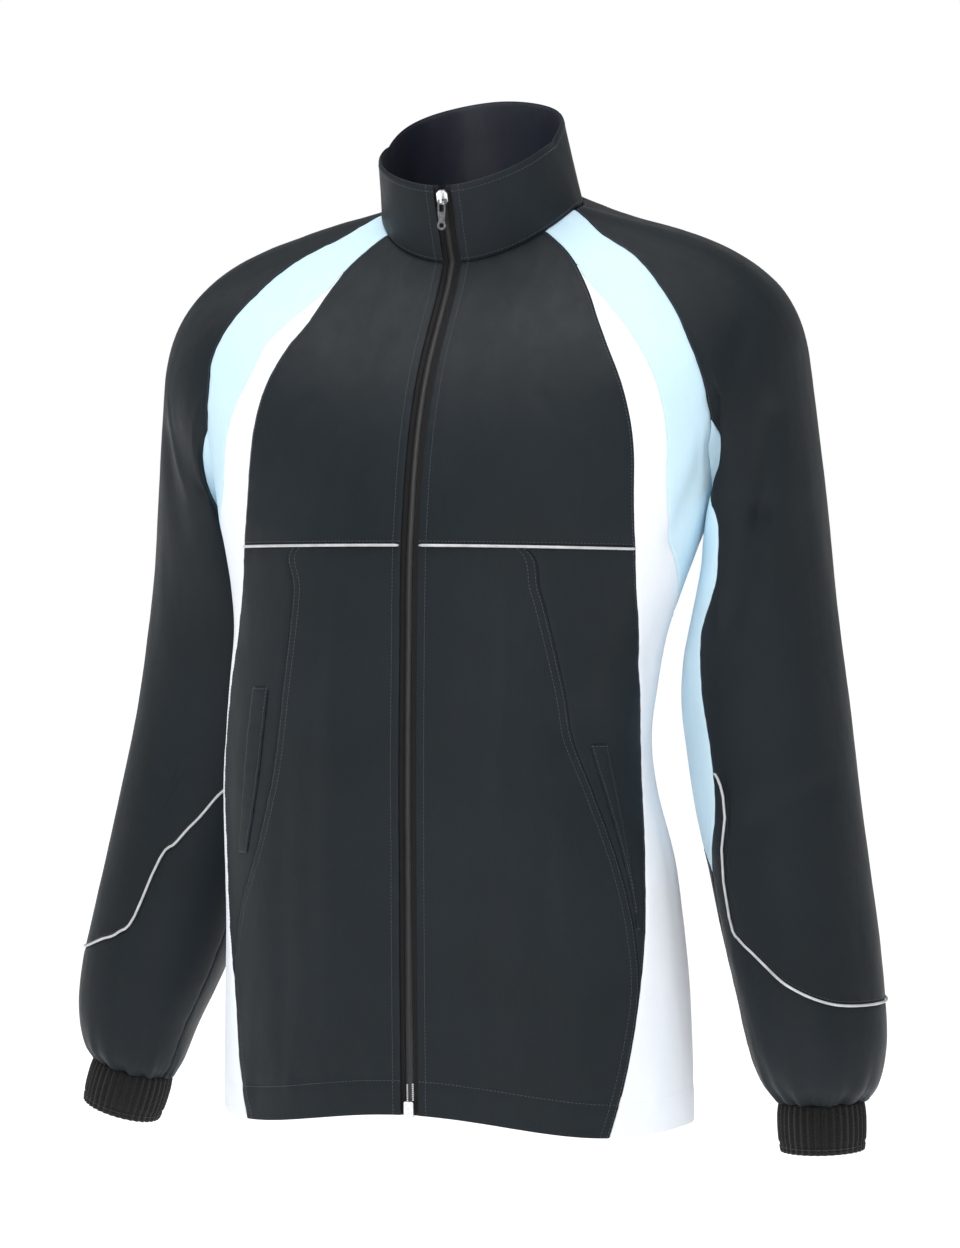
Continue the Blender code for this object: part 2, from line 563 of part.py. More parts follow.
class Sleeve:
    """One sleeve's surface, as a function of the row down it and the angle round it."""

    def __init__(self, side, sign):
        self.side, self.sign = side, sign
        self.table = SLEEVES[side]

    def loop_place(self, degrees):
        """Row and angle on the body of the raglan seam's point that faces this way round the sleeve."""
        index = (degrees / 360 * LOOP) % LOOP
        behind = index > LOOP / 2
        away = LOOP - index if behind else index
        seam = "back" if behind else "raglan_" + self.side
        front, back = seam_at(NECK_ROW, "raglan_" + self.side), seam_at(NECK_ROW, "back")
        middle = (front + back) / 2
        if away <= NECK_SHARE:
            limit = back if behind else front
            return NECK_ROW, middle + (limit - middle) * away / NECK_SHARE
        share = ((away - NECK_SHARE) / RAGLAN_STEPS) ** SEAM_POWER
        row = NECK_ROW + (UNDERARM_ROW - NECK_ROW) * share
        return row, seam_at(row, seam)

    def seam_point(self, degrees):
        row, angle = self.loop_place(degrees)
        return body_point(row, self.sign * angle)

    def seam_normal(self, degrees):
        row, angle = self.loop_place(degrees)
        return body_normal(row, self.sign * angle)

    def ring_point(self, row, degrees):
        """A point of the rings below the shoulder; row counts from the table's first ring."""
        ring = SleeveRow(*blended(self.table, row, 0, len(self.table) - 1))
        turn = math.radians(degrees)
        x = (ring.outer_x + ring.inner_x) / 2 + (ring.outer_x - ring.inner_x) / 2 * math.cos(turn)
        z = (ring.outer_z + ring.inner_z) / 2 + (ring.outer_z - ring.inner_z) / 2 * math.cos(turn)
        y = ring.mid_y - ring.half_depth * math.sin(turn)
        return np.array((self.sign * x, y, z))

    def point(self, row, degrees):
        if row >= SHOULDER_SPAN:
            return self.ring_point(row - SHOULDER_SPAN, degrees)
        start, end = self.seam_point(degrees), self.ring_point(0, degrees)
        line = end - start
        length = np.linalg.norm(line)
        leaving = self.leaving(degrees, line)
        arriving = unit(self.ring_point(0.2, degrees) - end)
        first = start + leaving * length * SHOULDER_PULL
        second = end - arriving * length * SHOULDER_PULL
        f = row / SHOULDER_SPAN
        g = 1 - f
        return g ** 3 * start + 3 * g * g * f * first + 3 * g * f * f * second + f ** 3 * end

    def leaving(self, degrees, line):
        """How the sleeve leaves the seam: flat over the shoulder, and standing off under the arm."""
        row, angle = self.loop_place(degrees)
        normal = zone_normal(row, self.sign * angle, BODY_ZONE)
        along = unit(self.seam_point(degrees + SEAM_STEP) - self.seam_point(degrees - SEAM_STEP))
        across = self.sign * unit(np.cross(normal, along))
        flat = unit(line - normal * np.dot(line, normal))
        under = (row - NECK_ROW) / (UNDERARM_ROW - NECK_ROW)
        outwards = max(SEAM_TURN * min(1.0, 2 * under) - np.dot(flat, across), 0)
        return unit(flat + across * outwards + normal * UNDERARM_LIFT * under ** 2)

    def normal(self, row, degrees):
        if row <= SLEEVE_START:
            return self.seam_normal(degrees)
        if row == CUFF_ROW:
            opposite = self.point(row, degrees + 180)
            return unit(self.point(row, degrees) - opposite)
        above, below = max(row - 0.08, 0), min(row + 0.08, CUFF_ROW)
        down = self.point(below, degrees) - self.point(above, degrees)
        across = self.point(row, degrees + 1) - self.point(row, degrees - 1)
        return unit(np.cross(across, down)) * self.sign

    def stripe_edges(self, row):
        front = between(SLEEVE_STRIPE, "row", "front_" + self.side, row)
        if row > STRIPE_TIP_ROW + 0.01:
            return front, front
        rear = between(SLEEVE_STRIPE, "row", "rear", row)
        return front, max(rear, front + STRIPE_TIP_WIDTH)

    def around(self, row, share):
        """The angle at a share of the way from the underarm's rear edge, over the arm, to its front edge."""
        front, rear = self.stripe_edges(row)
        return rear - 360 + (front + 360 - rear) * share


def sleeve_grid(sleeve, rows_of, shares, height=0.0, pleats=None):
    """Rows of points; rows_of(share) lists the sleeve rows down one column."""
    columns = []
    for number, share in enumerate(shares):
        column = []
        for row in rows_of(share):
            angle = sleeve.around(row, share)
            normal = sleeve.normal(row, angle)
            rise = height + (pleats(row, number) if pleats else 0.0)
            column.append((place_of(sleeve.point(row, angle), normal, rise), normal))
        columns.append(column)
    points = [[column[r][0] for column in columns] for r in range(len(columns[0]))]
    normals = [[column[r][1] for column in columns] for r in range(len(columns[0]))]
    return points, normals


UPPER_SLEEVE_STEPS = 16
TIP_CLOSING = 0.04       # rows below the stripe's point where the cloth has closed again
TIP_SHARE = (STRIPE_TIP_ROW - PIPING_INNER_ROW) / (CUFF_ROW - PIPING_INNER_ROW)
SLEEVE_COLUMNS = LOOP - (STRIPE_REAR - STRIPE_FRONT)


def seam_degrees(step):
    """The angle round the armhole at this step of the raglan seam, counted down from the neck."""
    return (NECK_SHARE + RAGLAN_STEPS * (step / RAGLAN_STEPS) ** (1 / SEAM_POWER)) * 360 / LOOP


REAR_STEPS, FRONT_STEPS = 11, 9    # of the seam's steps, those above the underarm stripe
SEAM_ANGLES = [-seam_degrees(REAR_STEPS - k) for k in range(REAR_STEPS)]
SEAM_ANGLES += steps(-seam_degrees(0), seam_degrees(0), 2 * NECK_SHARE)
SEAM_ANGLES += [seam_degrees(k + 1) for k in range(FRONT_STEPS)]
SHARES = [(angle - SEAM_ANGLES[0]) / (SEAM_ANGLES[-1] - SEAM_ANGLES[0]) for angle in SEAM_ANGLES]
STRIPE_ANGLES = [seam_degrees(k) for k in range(FRONT_STEPS, RAGLAN_STEPS)] + [180.0]
STRIPE_ANGLES += [360 - seam_degrees(k) for k in range(RAGLAN_STEPS - 1, REAR_STEPS - 1, -1)]
STRIPE_SHARES = [(angle - STRIPE_ANGLES[0]) / (STRIPE_ANGLES[-1] - STRIPE_ANGLES[0])
                 for angle in STRIPE_ANGLES]


def piping_row(share, side):
    """The sleeve row of the piped seam at this share of the way round."""
    first, last = SLEEVE_PIPING[0].around, SLEEVE_PIPING[-1].around
    return between(SLEEVE_PIPING, "around", side, first + (last - first) * share)


def pleat_rise(row, column):
    """Cloth gathered into the cuff: neighbouring columns stand out and sink in, more towards the cuff."""
    near = max(0.0, (row - (CUFF_ROW - 2.2)) / 2.2)
    fade = near * near * (1 if row < CUFF_ROW - 0.01 else 0.35)
    return SLEEVE_PLEAT_DEPTH * fade * (1 if column % 2 else -1)


def sleeve_panels(side, sign):
    sleeve = Sleeve(side.strip("_"), sign)

    def upper_rows(share):
        return steps(SLEEVE_START, piping_row(share, sleeve.side), UPPER_SLEEVE_STEPS)

    def lower_rows(share):
        top = piping_row(share, sleeve.side)
        middle = top + (CUFF_ROW - top) * TIP_SHARE
        return steps(top, middle, 2) + steps(middle + TIP_CLOSING, CUFF_ROW, 6)

    wall("sleeve_upper" + side, *sleeve_grid(sleeve, upper_rows, SHARES), SLATE)
    wall("sleeve_lower" + side,
         *sleeve_grid(sleeve, lower_rows, SHARES, pleats=pleat_rise), SLATE)
    stripe_rows = steps(SLEEVE_START, PIPING_INNER_ROW, UPPER_SLEEVE_STEPS)
    stripe_rows += steps(PIPING_INNER_ROW, STRIPE_TIP_ROW, 2)[1:]
    points, normals = [], []
    for row in stripe_rows:
        front, rear = sleeve.stripe_edges(row)
        angles = [front + (rear - front) * share for share in STRIPE_SHARES]
        directions = [sleeve.normal(row, angle) for angle in angles]
        points.append([place_of(sleeve.point(row, a), n) for a, n in zip(angles, directions)])
        normals.append(directions)
    wall("sleeve_stripe" + side, points, normals, LIGHT_BLUE)
    cuff(sleeve, side)
    lift = WALL / 2 + PIPING_GAP + PIPING_RADIUS
    centres = []
    for share in steps(0.01, 0.99, SLEEVE_COLUMNS):
        row = piping_row(share, sleeve.side)
        angle = sleeve.around(row, share)
        centres.append(place_of(sleeve.point(row, angle), sleeve.normal(row, angle), lift))
    tube("sleeve_piping" + side, centres, PIPING_RADIUS, GREY, sides=5)


def cuff(sleeve, side):
    """A ribbed elastic band: its ribs are raised outside, and its inside is plain."""
    count = 2 * CUFF_RIBS
    ring = [sleeve.ring_point(CUFF_ROW - SHOULDER_SPAN, 360 * k / count) for k in range(count)]
    centre = sum(ring) / count
    down = unit(np.cross(ring[count // 4] - centre, ring[0] - centre))
    down = down if down[2] < 0 else -down
    points, faces = [], []
    profile = ((0.0, -.0006), (0.35, .0008), (0.70, .0004), (1.0, -.0010))
    for inside in (False, True):
        for share, swell in profile:
            for k, place in enumerate(ring):
                out = unit(place - centre)
                rib = CUFF_RIB_DEPTH if k % 2 else 0.0
                offset = -0.0013 if inside else swell + rib
                points.append(place + out * offset + down * (SEAM / 2 + CUFF_HEIGHT * share))
    bands = len(profile)
    layer = bands * count
    for band in range(bands - 1):
        for k in range(count):
            a, b = band * count + k, band * count + (k + 1) % count
            faces.append((a, b, b + count, a + count))
            faces.append((layer + a + count, layer + b + count, layer + b, layer + a))
    for k in range(count):
        a, b = k, (k + 1) % count
        faces.append((layer + a, layer + b, b, a))
        a, b = a + layer - count, b + layer - count
        faces.append((a, b, layer + b, layer + a))
    made = add_object("cuff" + side, points, faces, BLACK, 0.7)
    face_outwards(made)


# ---------------------------------------------------------------- trim on the fronts
def chest_piping(side, sign):
    lift = WALL / 2 + PIPING_GAP + PIPING_RADIUS
    start = degrees_at(CHEST_ROW, sign * (ZIP_OPENING + 0.001))
    end = sign * (front_edge(CHEST_ROW, side) - 0.5)
    centres = []
    for angle in steps(start, end, 12):
        normal = body_normal(CHEST_ROW, angle)
        centres.append(place_of(body_point(CHEST_ROW, angle), normal, lift))
    tube("chest_piping" + side, centres, PIPING_RADIUS, GREY)


# A welt lies on the side front's own points, between two of its columns and two of its rows.
Welt = namedtuple("Welt", "top bottom")
WELTS = {"_left": Welt(16, 19), "_right": Welt(15, 18)}
WELT_COLUMNS = slice(1, 3)


def pocket_welt(side, sign):
    welt = WELTS[side]
    lift = (WALL + WELT_WALL) / 2 + 0.0003
    rows = [row for row in LOWER_ROWS if welt.top <= row <= welt.bottom]
    grid = body_grid(rows, lambda row: side_columns(row, side, sign)[WELT_COLUMNS], height=lift)
    wall("pocket_welt" + side, *grid, SLATE, WELT_WALL)


# ---------------------------------------------------------------- the zip
ZIP_ROWS = [(row, COLLAR_ZONE) for row in COLLAR_ROWS[:-1]]
ZIP_ROWS += [(row, BODY_ZONE) for row in sorted(set(BODY_ROWS))]
BOX_HEIGHT = 0.0125
BOX_ROW = HEM_ROW - 0.19 # the box's middle
SLIDER_ROW = 0.36        # the slider's middle, on the collar
SLIDER_WIDTH, SLIDER_HEIGHT, SLIDER_DEPTH = .0088, .0108, .0026


def zip_strip(rows, places, depth):
    points, normals = [], []
    for row, zone in rows:
        line, ways = [], []
        for x in places:
            angle = degrees_at(row, x, zone)
            normal = body_normal(row, angle, zone)
            line.append(place_of(body_point(row, angle, zone), normal, depth))
            ways.append(normal)
        points.append(line)
        normals.append(ways)
    return points, normals


def zip_tapes():
    depth = -(WALL + TAPE_WALL) / 2 - 0.0003
    for side, sign in (("_left", 1), ("_right", -1)):
        places = [sign * TAPE_INNER, sign * ZIP_OPENING, sign * TAPE_OUTER]
        strip = zip_strip(ZIP_ROWS, places, depth)
        wall("zip_tape" + side, *strip, BLACK, TAPE_WALL)


def zip_coil():
    """The closed coil, from just below the slider to just above the bottom box."""
    depth = -(WALL + TAPE_WALL) / 2 - 0.0001
    top = row_along(SLIDER_ROW, COLLAR_ZONE, SLIDER_HEIGHT / 2 + SEAM / 2)
    bottom = row_along(BOX_ROW, BODY_ZONE, -BOX_HEIGHT / 2 - SEAM / 2)
    between_ends = [pair for pair in ZIP_ROWS if top < pair[0] < bottom]
    rows = [(top, COLLAR_ZONE)] + between_ends + [(bottom, BODY_ZONE)]
    points, normals = zip_strip(rows, [-COIL_HALF, COIL_HALF], depth)
    wall("zip_coil", points, normals, BLACK, COIL_WALL)


def row_along(row, zone, distance):
    """The row this far down the zip's line, or up it if the distance is negative."""
    step = math.copysign(0.002, distance)
    walked, here = 0.0, body_point(row, 0.0, zone)
    while walked < abs(distance):
        row += step
        after = body_point(row, 0.0, zone)
        walked += np.linalg.norm(after - here)
        here = after
    return row


def frame_at(row, zone, height):
    """A place on the zip's line, its outward direction and its way up."""
    normal = body_normal(row, 0.0, zone)
    above = body_point(row - 0.02, 0.0, zone) - body_point(row + 0.02, 0.0, zone)
    up = unit(above - normal * np.dot(above, normal))
    return body_point(row, 0.0, zone) + normal * height, normal, up


def outline_solid(name, splines, half_width, colour, roughness, metallic):
    """A flat outline with holes, given two sides: a filled curve with an extrusion."""
    curve = bpy.data.curves.new(name, "CURVE")
    curve.dimensions = "2D"
    curve.fill_mode = "BOTH"
    curve.extrude = half_width
    for outline in splines:
        spline = curve.splines.new("POLY")
        spline.points.add(len(outline) - 1)
        for point, (a, b) in zip(spline.points, outline):
            point.co = (a, b, 0, 1)
        spline.use_cyclic_u = True
    curve.materials.append(material(name, colour, roughness, metallic))
    made = bpy.data.objects.new(name, curve)
    bpy.context.scene.collection.objects.link(made)
    return made


def turned(made, origin, first, second):
    """Places an outline: its own x runs along first and its y along second."""
    third = np.cross(first, second)
    matrix = np.eye(4)
    matrix[:3, 0], matrix[:3, 1], matrix[:3, 2], matrix[:3, 3] = first, second, third, origin
    made.matrix_world = Matrix(matrix.tolist())


def rounded(low_a, low_b, high_a, high_b, cut):
    """A rectangle with its corners cut, as an outline."""
    return [(low_a + cut, low_b), (high_a - cut, low_b), (high_a, low_b + cut), (high_a, high_b - cut),
            (high_a - cut, high_b), (low_a + cut, high_b), (low_a, high_b - cut), (low_a, low_b + cut)]


ARCH_REACH, ARCH_HEIGHT, ARCH_WALL, ARCH_WIDTH = .0038, .0086, .0011, .0016
TAB_WALL, TAB_BAR, TAB_SLOT, TAB_WIDTH, TAB_LENGTH = .0011, .0012, .0085, .0064, .0225
TAB_AXIS_OUT = .0014     # the tab's bar, out from the slider's face


def slider_frame():
    return frame_at(SLIDER_ROW, COLLAR_ZONE, -WALL / 2)


def tab_axis():
    origin, normal, up = slider_frame()
    low_leg = -ARCH_HEIGHT / 2 + ARCH_WALL
    return origin + normal * (SLIDER_DEPTH + TAB_AXIS_OUT) + up * (low_leg + TAB_BAR / 2 + 0.0005)


def zip_slider():
    """The slider's plate with its arch, which holds the pull tab's bar. The two are one solid."""
    origin, normal, up = slider_frame()
    plate = outline_solid("zip_slider", [rounded(-SLIDER_WIDTH / 2, -SLIDER_HEIGHT / 2, SLIDER_WIDTH / 2,
                                                 SLIDER_HEIGHT / 2, .0022)],
                          SLIDER_DEPTH / 2, SILVER, 0.3, 1.0)
    turned(plate, origin + normal * SLIDER_DEPTH / 2, np.array((1.0, 0, 0)), up)
    sunk = -0.0006
    outer = rounded(sunk, -ARCH_HEIGHT / 2, ARCH_REACH, ARCH_HEIGHT / 2, .0010)
    hole = rounded(0.0, -ARCH_HEIGHT / 2 + ARCH_WALL, ARCH_REACH - ARCH_WALL,
                   ARCH_HEIGHT / 2 - ARCH_WALL, .0004)
    arch = outline_solid("slider_arch", [outer, hole], ARCH_WIDTH / 2, SILVER, 0.3, 1.0)
    turned(arch, origin + normal * SLIDER_DEPTH, normal, up)
    plate_mesh, arch_mesh = as_mesh(plate), as_mesh(arch)
    arch_mesh.hide_render = True
    arch_mesh.display_type = "WIRE"
    join = plate_mesh.modifiers.new("arch", "BOOLEAN")
    join.operation = "UNION"
    join.object = arch_mesh


def as_mesh(made):
    """The filled curve as a mesh object, with its caps and sides welded."""
    bpy.context.view_layer.update()
    graph = bpy.context.evaluated_depsgraph_get()
    mesh = bpy.data.meshes.new_from_object(made.evaluated_get(graph))
    replacement = bpy.data.objects.new(made.name + "_mesh", mesh)
    replacement.matrix_world = made.matrix_world.copy()
    bpy.context.scene.collection.objects.link(replacement)
    name = made.name
    bpy.data.objects.remove(made)
    replacement.name = name
    weld = replacement.modifiers.new("weld", "WELD")
    weld.merge_threshold = 0.00001
    return replacement


def circle(radius, count, centre_b, clockwise=False):
    turns = [2 * math.pi * k / count for k in range(count)]
    if clockwise:
        turns.reverse()
    return [(radius * math.sin(turn), centre_b + radius * math.cos(turn)) for turn in turns]


def zip_pull_tab():
    """A flat tab that hangs from its own top bar. It tapers to a ring."""
    half, end = TAB_WIDTH / 2, -TAB_LENGTH + .0036
    ring = .0036
    arc = [(ring * math.sin(math.radians(a)), end - ring * math.cos(math.radians(a)))
           for a in range(-110, 111, 20)]
    outline = [(-half, TAB_BAR / 2), (half, TAB_BAR / 2), (half, -TAB_SLOT - .001), (.0024, end + .004)]
    outline += list(reversed(arc)) + [(-.0024, end + .004), (-half, -TAB_SLOT - .001)]
    slot = rounded(-.0019, -TAB_SLOT, .0019, -TAB_BAR / 2, .0004)
    tab = outline_solid("zip_pull_tab", [outline, slot, circle(.0019, 12, end)], TAB_WALL / 2,
                        GUNMETAL, 0.35, 1.0)
    turned(tab, tab_axis(), np.array((1.0, 0, 0)), np.array((0, 0, 1.0)))


def zip_box():
    """The bottom stop, over the ends of both tapes."""
    origin, normal, up = frame_at(BOX_ROW, BODY_ZONE, -WALL / 2 + 0.0001)
    box = outline_solid("zip_box", [rounded(-.0038, -BOX_HEIGHT / 2, .0038, BOX_HEIGHT / 2, .0008)],
                        .0014, SILVER, 0.35, 0.6)
    turned(box, origin + normal * .0014, np.array((1.0, 0, 0)), up)


# ---------------------------------------------------------------- the whole jacket
def build():
    for made in list(bpy.data.objects):
        bpy.data.objects.remove(made)
    for side, sign in (("_left", 1), ("_right", -1)):
        front_panels(side, sign)
        contrast_panels(side, sign)
        sleeve_panels(side, sign)
        chest_piping(side, sign)
        pocket_welt(side, sign)
    back_panel()
    collar_walls()
    zip_tapes()
    zip_coil()
    zip_slider()
    zip_pull_tab()
    zip_box()


build()
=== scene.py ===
# %% [markdown]
# # A cycling windbreaker, filled out as it is worn
# The real jacket is cut from thin woven nylon: a dark slate body with a stand collar and a full front zip,
# light blue stripes along the raglan seams, white side panels, grey piping and ribbed elastic cuffs.
# Every piece here is a thin sheet that lies on one of two smooth forms, the body or a sleeve. Both forms come
# from short tables of measured sections, so that neighbouring panels meet exactly along their seams.

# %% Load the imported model
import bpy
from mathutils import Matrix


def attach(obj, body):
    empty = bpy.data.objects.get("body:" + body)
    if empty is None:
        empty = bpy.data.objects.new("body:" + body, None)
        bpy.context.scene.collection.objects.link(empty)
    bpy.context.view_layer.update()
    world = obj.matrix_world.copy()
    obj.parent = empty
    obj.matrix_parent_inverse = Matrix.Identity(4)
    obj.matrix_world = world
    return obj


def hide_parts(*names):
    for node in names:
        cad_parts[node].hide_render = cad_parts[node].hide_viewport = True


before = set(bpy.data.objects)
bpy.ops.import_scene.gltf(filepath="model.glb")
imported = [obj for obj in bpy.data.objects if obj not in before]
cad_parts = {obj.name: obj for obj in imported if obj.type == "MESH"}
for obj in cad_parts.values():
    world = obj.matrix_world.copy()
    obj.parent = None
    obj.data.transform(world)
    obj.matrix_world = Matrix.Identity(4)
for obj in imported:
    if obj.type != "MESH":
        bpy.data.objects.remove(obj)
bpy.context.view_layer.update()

# %% Modules
import math
from collections import namedtuple

import bpy
import numpy as np
from mathutils import Matrix, Vector, noise

# %% [markdown]
# ## The camera, the light and the floor
# The photograph was taken a little from the wearer's left, almost level with the chest, on pure white.
# The camera turns by its angle round the jacket. A wide soft box lights the shoulders from above, a weaker
# one fills the front, and the dark cloth gets its soft shine from both. The floor and the world are white.

# %% The camera
CAMERA_TURN, CAMERA_RISE, CAMERA_DISTANCE = math.radians(20), math.radians(1.8), 3.2
METRES_A_PIXEL, PICTURE_HEIGHT = 0.000773, 1248
aim_across, aim_depth, aim_height = 0.0178, -0.055, -0.323
aim = Vector((aim_across * math.cos(CAMERA_TURN), aim_across * math.sin(CAMERA_TURN) + aim_depth, aim_height))
back = Vector((math.sin(CAMERA_TURN) * math.cos(CAMERA_RISE),
               -math.cos(CAMERA_TURN) * math.cos(CAMERA_RISE), math.sin(CAMERA_RISE)))
lens = bpy.data.cameras.new("photo_view")
lens.sensor_fit, lens.sensor_height = "VERTICAL", 24
lens.lens = 24 * CAMERA_DISTANCE / (PICTURE_HEIGHT * METRES_A_PIXEL)
camera = bpy.data.objects.new("photo_view", lens)
camera.matrix_world = Matrix.LocRotScale(aim + back * CAMERA_DISTANCE, back.to_track_quat("Z", "Y"), None)
bpy.context.scene.collection.objects.link(camera)
bpy.context.scene.camera = camera
bpy.context.scene.view_settings.view_transform = "Standard"
print("lens", round(lens.lens, 1), "mm")


# %% The soft boxes
def soft_box(name, place, towards, size, watts):
    light = bpy.data.lights.new(name, "AREA")
    light.shape, light.size, light.size_y, light.energy = "RECTANGLE", size[0], size[1], watts
    lamp = bpy.data.objects.new(name, light)
    away = Vector(place) - Vector(towards)
    lamp.matrix_world = Matrix.LocRotScale(Vector(place), away.to_track_quat("Z", "Y"), None)
    bpy.context.scene.collection.objects.link(lamp)
    return lamp


CHEST = (0.0, -0.05, -0.30)
soft_box("overhead_box", (-0.3, -0.9, 2.4), CHEST, (2.6, 1.8), 70)
soft_box("front_fill", (0.4, -3.6, 0.5), CHEST, (2.4, 2.4), 30)
soft_box("left_strip", (-2.6, -1.0, 0.4), CHEST, (0.7, 2.4), 5)
soft_box("right_strip", (2.6, -0.6, 0.6), CHEST, (0.7, 2.4), 10)

# %% The white surround
world = bpy.data.worlds.new("white_surround")
world.use_nodes = True
bpy.context.scene.world = world
tree = world.node_tree
tree.nodes.clear()
seen, felt = tree.nodes.new("ShaderNodeBackground"), tree.nodes.new("ShaderNodeBackground")
seen.inputs["Strength"].default_value, felt.inputs["Strength"].default_value = 1.0, 0.34
seen.inputs["Color"].default_value = felt.inputs["Color"].default_value = (1, 1, 1, 1)
ray, choose = tree.nodes.new("ShaderNodeLightPath"), tree.nodes.new("ShaderNodeMixShader")
output = tree.nodes.new("ShaderNodeOutputWorld")
tree.links.new(ray.outputs["Is Camera Ray"], choose.inputs["Fac"])
tree.links.new(felt.outputs[0], choose.inputs[1])
tree.links.new(seen.outputs[0], choose.inputs[2])
tree.links.new(choose.outputs[0], output.inputs["Surface"])

# %% The floor
FLOOR_HEIGHT = -1.25
floor_mesh = bpy.data.meshes.new("floor")
floor_mesh.from_pydata([(x, y, FLOOR_HEIGHT) for x, y in ((-30, -30), (30, -30), (30, 30), (-30, 30))],
                       [], [(0, 1, 2, 3)])
floor = bpy.data.objects.new("floor", floor_mesh)
bpy.context.scene.collection.objects.link(floor)
pale = bpy.data.materials.new("pale_floor")
pale.use_nodes = True
pale_shader = pale.node_tree.nodes["Principled BSDF"]
pale_shader.inputs["Base Color"].default_value = (0.93, 0.93, 0.94, 1)
pale_shader.inputs["Roughness"].default_value = 0.9
pale_shader.inputs["Emission Color"].default_value = (1, 1, 1, 1)
pale_shader.inputs["Emission Strength"].default_value = 0.78
floor_mesh.materials.append(pale)

# %% [markdown]
# ## The body's form
# A tailor's form can be described by rings: each ring has two half widths, the height of its sides, and
# where its front and back lie. Between the rings a smooth curve runs through the table's rows, so a place on
# the body is a row (0 at the collar's top, 22 at the hem) and an angle (0 at the zip, 180 at the back).

# %% The rings of the body
BodyRow = namedtuple(
    "BodyRow", "half_left half_right side_z mid_y front_y front_z back_y back_z square dip climb")
BODY = [
    BodyRow(.0678, .0693, .0491, -.0229, -.0890, .0123, .0531, .0894, 2.5, .0, 0.85),   # collar's top edge
    BodyRow(.0745, .0745, .0250, -.0100, -.0785, -.0160, .0615, .0570, 2.2, .0, 1.1),
    BodyRow(.0810, .0790, .0010, .0000, -.0660, -.0447, .0670, .0250, 2.0, .0, 1.4),   # neck seam
    BodyRow(.1120, .1120, -.0080, .0000, -.0750, -.0620, .0710, .0130, 2.1, .0, 1.4),
    BodyRow(.1500, .1500, -.0190, .0000, -.0880, -.0810, .0760, -.0030, 2.2, .0, 1.4),
    BodyRow(.1900, .1900, -.0350, -.0030, -.1030, -.1020, .0800, -.0260, 2.3, .0, 1.4),
    BodyRow(.2180, .2180, -.0560, -.0080, -.1180, -.1240, .0830, -.0560, 2.3, .0, 1.4),
    BodyRow(.2310, .2290, -.0850, -.0150, -.1310, -.1490, .0850, -.0930, 2.3, .0, 1.4),
    BodyRow(.2260, .2230, -.1240, -.0250, -.1410, -.1750, .0850, -.1350, 2.3, .0, 1.4),
    BodyRow(.2140, .2100, -.1700, -.0350, -.1480, -.2020, .0820, -.1800, 2.3, .0, 1.4),
    BodyRow(.2030, .1990, -.2150, -.0440, -.1530, -.2280, .0760, -.2200, 2.3, .0, 1.4),
    BodyRow(.1940, .1930, -.2450, -.0500, -.1560, -.2480, .0700, -.2450, 2.3, .0, 1.4),  # under the arm
    BodyRow(.1870, .1890, -.2650, -.0520, -.1580, -.2610, .0650, -.2650, 2.2, .0, 1.4),  # chest seam
    BodyRow(.1770, .1840, -.2950, -.0540, -.1600, -.2950, .0570, -.2950, 2.1, .0, 1.4),
    BodyRow(.1660, .1810, -.3300, -.0550, -.1610, -.3300, .0460, -.3300, 2.1, .0, 1.4),
    BodyRow(.1590, .1850, -.3700, -.0550, -.1620, -.3700, .0350, -.3700, 2.1, .0, 1.4),
    BodyRow(.1550, .1880, -.4100, -.0550, -.1630, -.4100, .0280, -.4100, 2.1, .0, 1.4),
    BodyRow(.1600, .1900, -.4500, -.0550, -.1630, -.4500, .0260, -.4500, 2.1, .0, 1.4),
    BodyRow(.1730, .1890, -.5000, -.0550, -.1620, -.5000, .0300, -.5000, 2.1, .0, 1.4),
    BodyRow(.1800, .1880, -.5500, -.0550, -.1610, -.5500, .0380, -.5500, 2.1, .0010, 1.4),
    BodyRow(.1850, .1890, -.6010, -.0550, -.1600, -.6000, .0450, -.6000, 2.1, .0030, 1.4),
    BodyRow(.1875, .1895, -.6590, -.0550, -.1590, -.6530, .0490, -.6560, 2.1, .0065, 1.4),
    BodyRow(.1880, .1895, -.7010, -.0550, -.1580, -.6900, .0500, -.6960, 2.1, .0100, 1.4),  # hem
]
COLLAR_ZONE = (0, 2)
BODY_ZONE = (2, len(BODY) - 1)
NECK_ROW, UNDERARM_ROW, CHEST_ROW, HEM_ROW = 2, 11, 12, len(BODY) - 1
STRIPE_START_ROW, GUSSET_TIP_ROW, LOWER_SEAM_END, SLOPE_POWER = 3.5, 13.5, 20, 1.4

